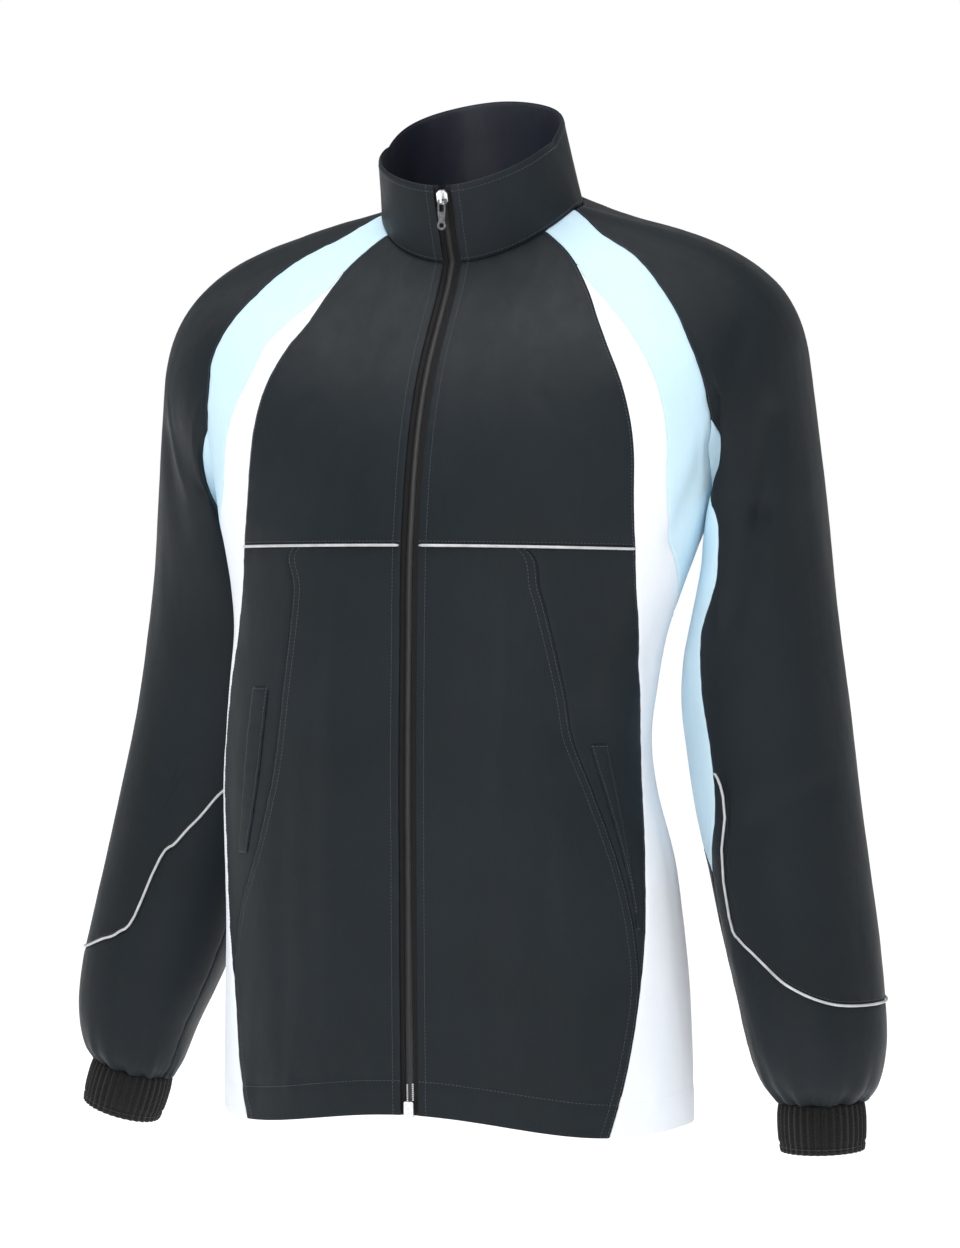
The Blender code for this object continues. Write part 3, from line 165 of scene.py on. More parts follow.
# %% Where the seams run, in degrees from the zip
SeamRow = namedtuple(
    "SeamRow",
    "edge_left edge_right stripe_left stripe_right raglan_left raglan_right back lower_left lower_right")
SEAMS = {
    2: SeamRow(55, 55, 55, 55, 82, 82, 118, 0, 0),
    3: SeamRow(50.5, 48, 50.5, 48, 69.5, 69.5, 122, 0, 0),
    4: SeamRow(43.5, 39.2, 44.2, 40, 63.5, 64, 128, 0, 0),
    5: SeamRow(38, 33, 41.6, 37.3, 56.5, 55.5, 132, 0, 0),
    6: SeamRow(36.5, 32.3, 42.1, 37.7, 54.2, 52.5, 132, 0, 0),
    7: SeamRow(38, 33.8, 44.6, 38.7, 55.5, 53, 130, 0, 0),
    8: SeamRow(42, 37, 49.8, 44, 62.5, 56, 127, 0, 0),
    9: SeamRow(46.8, 41, 56, 51.5, 74, 66, 123, 0, 0),
    10: SeamRow(50.5, 44.5, 61, 58.5, 88, 84, 118, 0, 0),
    11: SeamRow(54, 47, 68, 67.5, 112, 112, 112, 0, 0),
    12: SeamRow(58, 50.5, 75, 76, 112, 112, 112, 27, 30.5),
    13: SeamRow(64, 56, 93, 93, 113, 113, 113, 33.5, 32.5),
    14: SeamRow(72, 63, 114, 114, 114, 114, 114, 39.4, 34.7),
    15: SeamRow(78.5, 67.5, 117, 117, 117, 117, 117, 45.1, 35.8),
    16: SeamRow(83, 70, 121, 121, 121, 121, 121, 50, 37),
    17: SeamRow(79, 69, 122, 122, 122, 122, 122, 55.5, 39.5),
    18: SeamRow(70.5, 67.5, 121, 121, 121, 121, 121, 59, 46),
    19: SeamRow(66.5, 65.5, 119, 119, 119, 119, 119, 62, 55.5),
    20: SeamRow(61.5, 59, 118, 118, 118, 118, 118, 61.5, 59),
    21: SeamRow(55.5, 55, 117, 117, 117, 117, 117, 55.5, 55),
    22: SeamRow(50, 50, 116, 116, 116, 116, 116, 50, 50),
}


# %% Reading a smooth curve through a table
def read_rows(table, places, low, high):
    table, places = np.asarray(table, float), np.asarray(places, float)
    first = np.clip(np.floor(places).astype(int), low, high - 1)
    f = (places - first)[..., None]
    a, b, c, d = (table[np.clip(first + k, low, high)] for k in (-1, 0, 1, 2))
    return b + 0.5 * f * (c - a + f * (2 * a - 5 * b + 4 * c - d + f * (3 * (b - c) + d - a)))


def unit(vectors):
    return vectors / np.maximum(np.linalg.norm(vectors, axis=-1, keepdims=True), 1e-12)


seam_table = np.array([SEAMS.get(row, SEAMS[2]) for row in range(len(BODY))], float)


def seam_at(rows, name, side=""):
    return read_rows(seam_table, rows, *BODY_ZONE)[..., SeamRow._fields.index(name + side)]


# %% A place on the body, and its outward direction
def body_place(rows, degrees, zone=BODY_ZONE):
    rows, degrees = np.broadcast_arrays(np.asarray(rows, float), np.asarray(degrees, float))
    ring = dict(zip(BodyRow._fields, np.moveaxis(read_rows(BODY, rows, *zone), -1, 0)))
    sine, cosine = np.sin(np.radians(degrees)), np.cos(np.radians(degrees))
    square = ring["square"]
    reach = (np.abs(sine) ** square + np.abs(cosine) ** square) ** (-1 / square)
    half = np.where(sine > 0, ring["half_left"], ring["half_right"])
    end_y = np.where(cosine > 0, ring["front_y"], ring["back_y"])
    end_z = np.where(cosine > 0, ring["front_z"], ring["back_z"])
    y = ring["mid_y"] + (end_y - ring["mid_y"]) * np.abs(cosine) * reach
    climb = np.where(cosine > 0, SLOPE_POWER, ring["climb"])
    z = ring["side_z"] + (end_z - ring["side_z"]) * np.abs(cosine) ** climb
    z = z - np.where(cosine > 0, ring["dip"], 0) * (2 * sine * cosine) ** 2
    return np.stack((half * sine * reach, y, z), -1)


def zone_normal(rows, degrees, zone):
    rows = np.asarray(rows, float)
    above, below = np.maximum(rows - 0.05, zone[0]), np.minimum(rows + 0.05, zone[1])
    down = body_place(below, degrees, zone) - body_place(above, degrees, zone)
    across = body_place(rows, degrees + 0.5, zone) - body_place(rows, degrees - 0.5, zone)
    return unit(np.cross(down, across))


NECK_BLEND = 0.12


def body_normal(rows, degrees, zone=BODY_ZONE):
    """Outward; near the neck seam the collar and the body share one direction."""
    own = zone_normal(rows, degrees, zone)
    shared = unit(zone_normal(NECK_ROW, degrees, COLLAR_ZONE) + zone_normal(NECK_ROW, degrees, BODY_ZONE))
    near = np.clip(1 - np.abs(np.asarray(rows, float) - NECK_ROW) / NECK_BLEND, 0, 1)[..., None]
    return unit(own * (1 - near) + shared * near)


def degrees_at(rows, x, zone=BODY_ZONE):
    """The ring's angle where the front lies this far from the zip."""
    ring = dict(zip(BodyRow._fields, np.moveaxis(read_rows(BODY, rows, *zone), -1, 0)))
    across = abs(x) / (ring["half_left"] if x > 0 else ring["half_right"])
    ahead = (1 - across ** ring["square"]) ** (1 / ring["square"])
    return math.copysign(1, x) * np.degrees(np.arctan2(across, ahead))


# %% [markdown]
# ## The sleeves' form
# A raglan sleeve starts at the slanting seam that runs from the neck to the underarm, turns over the
# shoulder and hangs down to the cuff. Below the shoulder it is made of slanting rings. Above them a curve
# runs from each point of the seam to the first ring, leaving the body flat at the top and standing off it
# under the arm, where the real cloth folds.

# %% The rings of the sleeves
SleeveRow = namedtuple("SleeveRow", "outer_x outer_z inner_x inner_z mid_y half_depth")
SLEEVES = {
    "left": [
        SleeveRow(.259, -.113, .187, -.275, .008, .077),
        SleeveRow(.266, -.167, .183, -.292, .010, .074),
        SleeveRow(.273, -.217, .176, -.318, .010, .072),
        SleeveRow(.280, -.275, .169, -.350, .008, .071),
        SleeveRow(.288, -.335, .168, -.385, .004, .070),
        SleeveRow(.297, -.395, .173, -.420, .001, .070),
        SleeveRow(.306, -.455, .182, -.465, -.004, .069),
        SleeveRow(.315, -.510, .194, -.510, -.009, .067),
        SleeveRow(.324, -.560, .205, -.555, -.014, .064),
        SleeveRow(.330, -.605, .217, -.600, -.019, .060),
        SleeveRow(.332, -.640, .227, -.640, -.022, .055),
        SleeveRow(.327, -.668, .238, -.668, -.024, .047),
        SleeveRow(.315, -.682, .252, -.684, -.024, .034),
    ],
    "right": [
        SleeveRow(.263, -.120, .188, -.275, .010, .076),
        SleeveRow(.272, -.170, .180, -.292, .018, .074),
        SleeveRow(.280, -.220, .172, -.318, .026, .072),
        SleeveRow(.288, -.275, .163, -.350, .034, .070),
        SleeveRow(.296, -.335, .161, -.385, .036, .069),
        SleeveRow(.304, -.395, .167, -.425, .032, .068),
        SleeveRow(.314, -.455, .179, -.468, .024, .067),
        SleeveRow(.323, -.510, .194, -.515, .014, .065),
        SleeveRow(.331, -.560, .210, -.565, .004, .062),
        SleeveRow(.337, -.600, .226, -.612, -.005, .058),
        SleeveRow(.338, -.634, .243, -.650, -.011, .053),
        SleeveRow(.333, -.660, .254, -.680, -.015, .045),
        SleeveRow(.322, -.674, .262, -.693, -.018, .033),
    ],
}
SHOULDER_SPAN, SLEEVE_START = 4, 0.012
CUFF_ROW = SHOULDER_SPAN + 12
STRIPE_TIP_ROW, PIPING_INNER_ROW = 11, 9.4
SHOULDER_PULL, SEAM_TURN, UNDERARM_LIFT = 0.40, 0.40, 0.8
SEAM_STEP, SEAM_POWER = 4.0, 0.7
LOOP, NECK_SHARE, RAGLAN_STEPS = 28, 2, 12

# %% The light blue stripe under the arm, and the piped seam of the forearm
StripeRow = namedtuple("StripeRow", "row front_left front_right rear")
SLEEVE_STRIPE = [
    StripeRow(0, 128.0063, 128.0063, 198.0340),
    StripeRow(2, 132, 146, 204),
    StripeRow(4, 118, 152, 210),
    StripeRow(5, 108, 156, 214),
    StripeRow(6, 107, 158, 217),
    StripeRow(7, 121, 158, 217),
    StripeRow(8, 120, 157, 213),
    StripeRow(9, 118, 155, 205),
    StripeRow(10, 123, 158, 190),
    StripeRow(11, 146, 166, 147),
    StripeRow(16, 160, 166, 160),
]
STRIPE_TIP_WIDTH = 1.0
PipingRow = namedtuple("PipingRow", "around left right")
SLEEVE_PIPING = [
    PipingRow(-141.43, PIPING_INNER_ROW, PIPING_INNER_ROW),
    PipingRow(-110, 10.6, 10.3),
    PipingRow(-75, 11.9, 11.6),
    PipingRow(-40, 12.75, 12.4),
    PipingRow(0, 13.02, 12.7),
    PipingRow(40, 13.03, 12.62),
    PipingRow(60, 13.01, 12.39),
    PipingRow(72, 12.93, 12.22),
    PipingRow(80, 12.84, 11.9),
    PipingRow(85, 12.77, 11.03),
    PipingRow(92, 12.65, 10.75),
    PipingRow(102, 12.4, 10.34),
    PipingRow(110, 12.21, 9.93),
    PipingRow(118, 12.04, 9.72),
    PipingRow(124, 11.82, 9.62),
    PipingRow(127, 11.0, 9.58),
    PipingRow(131, 9.95, 9.53),
    PipingRow(136, 9.5, 9.46),
    PipingRow(141.43, PIPING_INNER_ROW, PIPING_INNER_ROW),
]


def smooth_read(keys, values, places):
    """A smooth curve through the points of a short table, which never swings past them."""
    keys, values = np.asarray(keys, float), np.asarray(values, float)
    secants = np.diff(values) / np.diff(keys)
    slopes = np.gradient(values, keys)
    limit = 3 * np.minimum(np.abs(secants[:-1]), np.abs(secants[1:]))
    slopes[1:-1] = np.where(secants[:-1] * secants[1:] > 0, np.clip(slopes[1:-1], -limit, limit), 0)
    places = np.clip(places, keys[0], keys[-1])
    k = np.clip(np.searchsorted(keys, places) - 1, 0, len(keys) - 2)
    width = keys[k + 1] - keys[k]
    t = (places - keys[k]) / width
    rise = values[k + 1] - values[k]
    return (values[k] + rise * t * t * (3 - 2 * t)
            + width * t * (1 - t) * (slopes[k] * (1 - t) - slopes[k + 1] * t))


def column(table, name):
    return [getattr(row, name) for row in table]


# %% A place on a sleeve
class Sleeve:
    def __init__(self, side, sign):
        self.side, self.sign, self.table = side, sign, SLEEVES[side]

    def loop_place(self, degrees):
        """Row and angle on the body of the raglan seam's point that faces this way round the sleeve."""
        index = (np.asarray(degrees, float) / 360 * LOOP) % LOOP
        behind = index > LOOP / 2
        away = np.where(behind, LOOP - index, index)
        front, rear = seam_at(NECK_ROW, "raglan_" + self.side), seam_at(NECK_ROW, "back")
        middle = (front + rear) / 2
        share = np.clip((away - NECK_SHARE) / RAGLAN_STEPS, 0, None) ** SEAM_POWER
        row = NECK_ROW + (UNDERARM_ROW - NECK_ROW) * share
        along_seam = np.where(behind, seam_at(row, "back"), seam_at(row, "raglan_" + self.side))
        along_neck = middle + (np.where(behind, rear, front) - middle) * away / NECK_SHARE
        return row, np.where(away <= NECK_SHARE, along_neck, along_seam)

    def ring_place(self, row, degrees):
        row, degrees = np.broadcast_arrays(np.asarray(row, float), np.asarray(degrees, float))
        ring = dict(zip(SleeveRow._fields, np.moveaxis(
            read_rows(self.table, row, 0, len(self.table) - 1), -1, 0)))
        turn = np.radians(degrees)
        share = (1 + np.cos(turn)) / 2
        x = ring["inner_x"] + (ring["outer_x"] - ring["inner_x"]) * share
        z = ring["inner_z"] + (ring["outer_z"] - ring["inner_z"]) * share
        return np.stack((self.sign * x, ring["mid_y"] - ring["half_depth"] * np.sin(turn), z), -1)

    def seam_place(self, degrees):
        row, angle = self.loop_place(degrees)
        return body_place(row, self.sign * angle)

    def leaving(self, degrees, line):
        """How the sleeve leaves the seam: flat over the shoulder, and standing off under the arm."""
        row, angle = self.loop_place(degrees)
        normal = zone_normal(row, self.sign * angle, BODY_ZONE)
        along = unit(self.seam_place(degrees + SEAM_STEP) - self.seam_place(degrees - SEAM_STEP))
        across = self.sign * unit(np.cross(normal, along))
        flat = unit(line - normal * (line * normal).sum(-1, keepdims=True))
        under = ((row - NECK_ROW) / (UNDERARM_ROW - NECK_ROW))[..., None]
        least = SEAM_TURN * np.minimum(1.0, 2 * under)
        outwards = np.maximum(least - (flat * across).sum(-1, keepdims=True), 0)
        return unit(flat + across * outwards + normal * UNDERARM_LIFT * under ** 2)

    def place(self, row, degrees):
        row, degrees = np.broadcast_arrays(np.asarray(row, float), np.asarray(degrees, float))
        start = self.seam_place(degrees)
        end = self.ring_place(0.0, degrees)
        line = end - start
        length = np.linalg.norm(line, axis=-1, keepdims=True)
        first = start + self.leaving(degrees, line) * length * SHOULDER_PULL
        second = end - unit(self.ring_place(0.2, degrees) - end) * length * SHOULDER_PULL
        f = np.clip(row / SHOULDER_SPAN, 0, 1)[..., None]
        g = 1 - f
        shoulder = g ** 3 * start + 3 * g * g * f * first + 3 * g * f * f * second + f ** 3 * end
        below = self.ring_place(np.clip(row - SHOULDER_SPAN, 0, None), degrees)
        return np.where((row >= SHOULDER_SPAN)[..., None], below, shoulder)

    def normal(self, row, degrees):
        """Outward; at the raglan seam it is the body's own direction, and at the cuff it is level."""
        row, degrees = np.broadcast_arrays(np.asarray(row, float), np.asarray(degrees, float))
        above, below = np.maximum(row - 0.06, 0), np.minimum(row + 0.06, CUFF_ROW)
        down = self.place(below, degrees) - self.place(above, degrees)
        across = self.place(row, degrees + 1) - self.place(row, degrees - 1)
        own = unit(np.cross(across, down)) * self.sign
        seam_row, angle = self.loop_place(degrees)
        seam = body_normal(seam_row, self.sign * angle)
        near = np.clip(1 - row / 0.5, 0, 1)[..., None] ** 1.5
        return unit(own * (1 - near) + seam * near)

    def stripe_edges(self, row):
        front = smooth_read(column(SLEEVE_STRIPE, "row"), column(SLEEVE_STRIPE, "front_" + self.side), row)
        rear = smooth_read(column(SLEEVE_STRIPE, "row"), column(SLEEVE_STRIPE, "rear"), row)
        rear = np.maximum(rear, front + STRIPE_TIP_WIDTH)
        return front, np.where(np.asarray(row) > STRIPE_TIP_ROW + 0.01, front, rear)

    def around(self, row, share):
        """From the stripe's rear edge, over the arm, to its front edge."""
        front, rear = self.stripe_edges(row)
        return rear - 360 + (front + 360 - rear) * share

    def piping_row(self, share):
        keys = column(SLEEVE_PIPING, "around")
        return smooth_read(keys, column(SLEEVE_PIPING, self.side), keys[0] + (keys[-1] - keys[0]) * share)


ARMS = {"left": Sleeve("left", 1), "right": Sleeve("right", -1)}
print("sleeve ends at", np.round(ARMS["left"].place(CUFF_ROW, 0.0), 3))

# %% [markdown]
# ## Folds and the fall of thin nylon
# Thin nylon keeps a few large folds where the arm bends and where cloth is gathered under it, smaller creases
# that run off from them, and a shallow uneven waviness everywhere. The large folds are the same soft troughs
# that the solid has. The creases are listed one by one, each with its own length and depth; a negative depth
# stands out as a ridge. The waviness is a smooth noise, longer down the cloth than across it.

# %% The large folds and the creases
Fold = namedtuple("Fold", "start end width depth")
FOLDS = [
    Fold((.258, -.050, -.165), (.248, -.058, -.235), .012, .0060),
    Fold((.248, -.058, -.235), (.222, -.068, -.320), .010, .0050),
    Fold((.236, -.060, -.100), (.217, -.075, -.150), .009, .0030),
    Fold((.206, -.066, -.190), (.190, -.085, -.255), .012, .0042),
    Fold((.250, .060, -.190), (.215, .070, -.300), .013, .0050),
    Fold((.300, -.050, -.440), (.245, -.074, -.470), .012, .0030),
    Fold((.300, .050, -.420), (.240, .070, -.400), .012, .0040),
    Fold((-.214, -.058, -.325), (-.190, -.058, -.335), .010, .0040),
    Fold((-.225, -.060, -.360), (-.200, -.058, -.395), .010, .0040),
    Fold((-.255, -.050, -.180), (-.235, -.062, -.300), .013, .0045),
    Fold((-.250, .060, -.200), (-.215, .072, -.300), .013, .0050),
    Fold((-.300, .050, -.430), (-.245, .068, -.405), .012, .0040),
    Fold((-.110, .022, -.410), (.010, .030, -.430), .014, .0050),
    Fold((-.040, .028, -.465), (.115, .014, -.445), .013, .0040),
    Fold((-.150, -.010, -.480), (-.060, .030, -.510), .013, .0040),
    Fold((.150, -.070, -.345), (.110, -.125, -.400), .014, .0035),
]
CREASES = [
    Fold((.262, -.060, -.150), (.236, -.071, -.300), .0050, -.0016),
    Fold((.226, -.070, -.210), (.214, -.066, -.330), .0042, .0018),
    Fold((.219, -.069, -.245), (.196, -.064, -.300), .0034, -.0015),
    Fold((.290, -.052, -.330), (.240, -.070, -.390), .0050, .0014),
    Fold((.270, -.064, -.520), (.230, -.060, -.500), .0045, .0012),
    Fold((.318, -.040, -.560), (.262, -.074, -.590), .0050, .0014),
    Fold((.200, -.076, -.170), (.212, -.062, -.225), .0040, -.0016),
    Fold((-.222, -.055, -.318), (-.193, -.052, -.322), .0036, .0022),
    Fold((-.224, -.052, -.352), (-.204, -.050, -.382), .0036, .0022),
    Fold((-.215, -.062, -.205), (-.200, -.066, -.262), .0036, .0022),
    Fold((-.240, -.060, -.150), (-.226, -.062, -.250), .0046, -.0016),
    Fold((-.280, -.040, -.430), (-.232, -.044, -.470), .0050, .0014),
    Fold((-.300, -.030, -.540), (-.250, -.048, -.565), .0046, .0014),
    Fold((.075, -.155, -.300), (.060, -.160, -.560), .0130, -.0014),
    Fold((.105, -.140, -.470), (.098, -.140, -.690), .0110, .0013),
    Fold((.040, -.161, -.480), (.052, -.160, -.700), .0120, -.0012),
    Fold((-.060, -.158, -.300), (-.070, -.155, -.620), .0130, -.0013),
    Fold((-.105, -.140, -.420), (-.110, -.138, -.660), .0110, .0013),
    Fold((.095, -.128, -.150), (.150, -.110, -.240), .0090, .0010),
    Fold((-.090, -.130, -.150), (-.140, -.114, -.235), .0090, .0010),
    Fold((.020, .062, -.120), (.120, .050, -.210), .0120, .0022),
    Fold((-.030, .066, -.140), (-.130, .050, -.220), .0120, .0022),
    Fold((.010, .030, -.360), (.090, .022, -.400), .0090, .0026),
    Fold((-.080, .026, -.370), (.000, .034, -.345), .0090, .0024),
    Fold((.060, .034, -.520), (.050, .044, -.680), .0110, .0020),
    Fold((-.070, .034, -.540), (-.080, .044, -.690), .0120, .0020),
    Fold((.170, -.060, -.440), (.178, -.062, -.640), .0100, .0018),
    Fold((-.176, -.060, -.420), (-.182, -.060, -.600), .0100, .0018),
    Fold((.290, .050, -.300), (.262, .064, -.360), .0060, .0020),
    Fold((-.285, .066, -.290), (-.250, .080, -.350), .0060, .0020),
    Fold((.300, .038, -.540), (.262, .052, -.560), .0060, .0018),
    Fold((-.305, .040, -.540), (-.268, .058, -.560), .0060, .0018),
]


def folds_at(points, folds):
    """How far these folds sink the cloth."""
    depth = np.zeros(points.shape[:-1])
    for fold in folds:
        start, line = np.array(fold.start), np.subtract(fold.end, fold.start)
        along = np.clip((points - start) @ line / (line @ line), 0, 1)
        away = np.linalg.norm(points - start - along[..., None] * line, axis=-1)
        taper = 0.35 + 0.65 * np.sin(np.pi * (0.08 + 0.84 * along))
        width = fold.width if folds is FOLDS else fold.width * taper
        strength = fold.depth if folds is FOLDS else fold.depth * taper
        depth += strength * np.exp(-((away / width) ** 2))
    return depth


def waviness(points):
    """A shallow unevenness, longer down the cloth than across it."""
    flat = points.reshape(-1, 3)
    rise = np.empty(len(flat))
    for k, (x, y, z) in enumerate(flat.tolist()):
        rise[k] = (0.00105 * noise.noise((13 * x, 13 * y, 4.5 * z))
                   + 0.00042 * noise.noise((36 * x + 5, 36 * y, 15 * z))
                   + 0.00014 * noise.noise((110 * x, 110 * y + 9, 60 * z)))
    return rise.reshape(points.shape[:-1])


# %% [markdown]
# ## What a sewn edge looks like
# Along a seam the cloth dives into the stitching, and the thread draws it up into small uneven puckers that
# fade out within a centimetre. A hem is turned up and stitched, so it is a little thicker and has a groove
# where the thread lies. These small heights are added to a panel's points, measured from its borders.

# %% Distances from a panel's borders
def distances(points):
    """How far each point lies from the left, right, top and bottom borders, in metres."""
    across = np.linalg.norm(np.diff(points, axis=1), axis=-1)
    down = np.linalg.norm(np.diff(points, axis=0), axis=-1)
    left = np.concatenate((np.zeros((len(points), 1)), np.cumsum(across, axis=1)), axis=1)
    top = np.concatenate((np.zeros((1, points.shape[1])), np.cumsum(down, axis=0)), axis=0)
    return {"left": left, "right": left[:, -1:] - left, "top": top, "bottom": top[-1:] - top}


def puckers(along, seed):
    """Small uneven waves along a stitched line."""
    return (np.sin(along * 410 + seed) * 0.5 + np.sin(along * 667 + 2.1 * seed) * 0.3
            + np.sin(along * 233 + 0.7 * seed) * 0.4)


def sewn_edge(away, along, seed):
    dive = -0.00075 * np.exp(-((away / 0.0013) ** 2))
    groove = -0.00016 * np.exp(-(((away - 0.0022) / 0.0007) ** 2))
    return dive + groove + 0.00026 * puckers(along, seed) * np.exp(-((away / 0.0085) ** 2))


FARTHEST = 60.0     # past this many widths a soft step has died away


def hem_edge(away, along, seed):
    """A turned-up hem with its stitch line HEM_DEPTH above the edge."""
    turn_up = 0.0005 / (1 + np.exp(np.minimum((away - HEM_DEPTH) / 0.0006, FARTHEST)))
    groove = -0.0005 * np.exp(-(((away - HEM_DEPTH) / 0.0012) ** 2))
    return turn_up + groove + 0.0005 * puckers(along * 0.6, seed) * np.exp(-((away - HEM_DEPTH) / 0.012) ** 2)


def folded_edge(away, along, seed):
    """The fold beside the zip, with its topstitching ZIP_STITCH from the edge."""
    roll = -0.0006 * np.exp(-((away / 0.0010) ** 2))
    groove = -0.00035 * np.exp(-(((away - ZIP_STITCH) / 0.0009) ** 2))
    ripple = 0.00030 * puckers(along * 0.8, seed) * np.exp(-(((away - 0.004) / 0.006) ** 2))
    return roll + groove + ripple


HEM_DEPTH, ZIP_STITCH, ZIP_OPENING = 0.026, 0.0062, 0.0070
EDGES = {"sewn": sewn_edge, "hem": hem_edge, "fold": folded_edge}


# %% The mesh of a panel
def spread_shares(length, step, fine=(0.0006, 0.0013, 0.0022, 0.0035)):
    """Shares from 0 to 1 in even steps, with finer ones beside both borders."""
    ends = [d / length for d in fine if d < length / 4]
    first = ends[-1] if ends else 0.0
    inner = np.linspace(first, 1 - first, max(2, int(round(length * (1 - 2 * first) / step)) + 1))
    outer = [0.0] + ends[:-1]
    return np.array(outer + list(inner) + [1 - share for share in reversed(outer)])


def pulled_in(points, gap):
    """The grid with its four borders drawn in by half a seam's gap."""
    moved = points.copy()
    for border, inner in ((0, 1), (-1, -2)):
        for axis in (0, 1):
            edge = np.take(points, border, axis=axis)
            line = np.take(points, inner, axis=axis) - edge
            length = np.linalg.norm(line, axis=1, keepdims=True)
            step = line / np.maximum(length, 1e-9) * np.minimum(gap / 2, 0.4 * length)
            if axis == 0:
                moved[border] += step
            else:
                moved[:, border] += step
    return moved


def new_object(name, points, faces, material, uv=None, smooth=True):
    mesh = bpy.data.meshes.new(name)
    mesh.from_pydata(np.asarray(points).tolist(), [], faces)
    if uv is not None:
        layer = mesh.uv_layers.new(name="cloth")
        corner = np.empty(len(mesh.loops), np.int32)
        mesh.loops.foreach_get("vertex_index", corner)
        layer.data.foreach_set("uv", np.asarray(uv, np.float32)[corner].ravel())
    mesh.materials.append(material)
    if smooth:
        mesh.shade_smooth()
    made = bpy.data.objects.new(name, mesh)
    bpy.context.scene.collection.objects.link(made)
    return made


def shell_faces(rows, columns, count):
    r, c = np.meshgrid(np.arange(rows - 1), np.arange(columns - 1), indexing="ij")
    a = (r * columns + c).ravel()
    front = np.stack((a, a + columns, a + columns + 1, a + 1), -1)
    faces = front.tolist() + (front[:, ::-1] + count).tolist()
    border = [c for c in range(columns)] + [r * columns + columns - 1 for r in range(1, rows)]
    border += [(rows - 1) * columns + c for c in reversed(range(columns - 1))]
    border += [r * columns for r in reversed(range(1, rows - 1))]
    faces += [(here, after, after + count, here + count)
              for here, after in zip(border, border[1:] + border[:1])]
    return faces


CLOTH, SEAM_GAP = 0.0006, 0.00022
Panel = namedtuple("Panel", "object points normals")


def sew_panel(name, node, base, normals, material, slot, borders=None, thickness=CLOTH,
              extra=None, gap=SEAM_GAP, seed=1.0, wavy=1.0, held="hung"):
    """A cloth piece: folds, waviness and sewn edges on its form, then a thin shell."""
    away = distances(base)
    rise = -folds_at(base, FOLDS) - folds_at(base, CREASES)
    if wavy:
        rise = rise + wavy * waviness(base)
    for border, kind in (borders or {}).items():
        along = away["top"] if border in ("left", "right") else away["left"]
        rise = rise + EDGES[kind](away[border], along, seed + len(border))
    if extra is not None:
        rise = rise + extra
    points = pulled_in(base + normals * rise[..., None], gap)
    rows, columns = points.shape[:2]
    count = rows * columns
    outer = (points + normals * thickness / 2).reshape(-1, 3)
    inner = (points - normals * thickness / 2).reshape(-1, 3)
    uv = np.stack((away["left"], -away["top"]), -1).reshape(-1, 2)
    faces = shell_faces(rows, columns, count)
    middle = (rows // 2) * (columns - 1) + columns // 2
    first = np.array([outer[k] for k in faces[middle][:3]])
    facing = np.cross(first[1] - first[0], first[2] - first[0]) @ normals[rows // 2, columns // 2]
    if facing < 0:
        faces = [tuple(reversed(face)) for face in faces]
    made = new_object(name, np.vstack((outer, inner)), faces, material, np.vstack((uv, uv)))
    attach(made, "garment")
    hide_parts(node)
    width, length = float(away["left"][:, -1].max()), float(away["top"][-1].max())
    cells = np.cross(base[1:, :-1] - base[:-1, :-1], base[:-1, 1:] - base[:-1, :-1])
    area = min(float(np.linalg.norm(cells, axis=-1).sum()), width * length)
    print(f"{name}: {1000 * width:.0f} by {1000 * length:.0f} mm, {area:.4f} square metres")
    return Panel(made, points + normals * thickness / 2, normals)


# %% [markdown]
# ## Finishes
# Woven nylon is two sets of fine threads that pass over and under each other, with a thin smooth coating: it
# is matt in the hollows of its crinkles and shines softly where it bulges. Each cloth here gets the weave and
# the crinkle as bump, a little unevenness in colour and shine, and a light sheen. The weave reads the cloth's
# own coordinates in metres, so its threads keep one size on every panel. The trims get finishes of their own:
# herringbone tape, knitted ribs, glass-beaded reflective piping, moulded coil and cast metal.

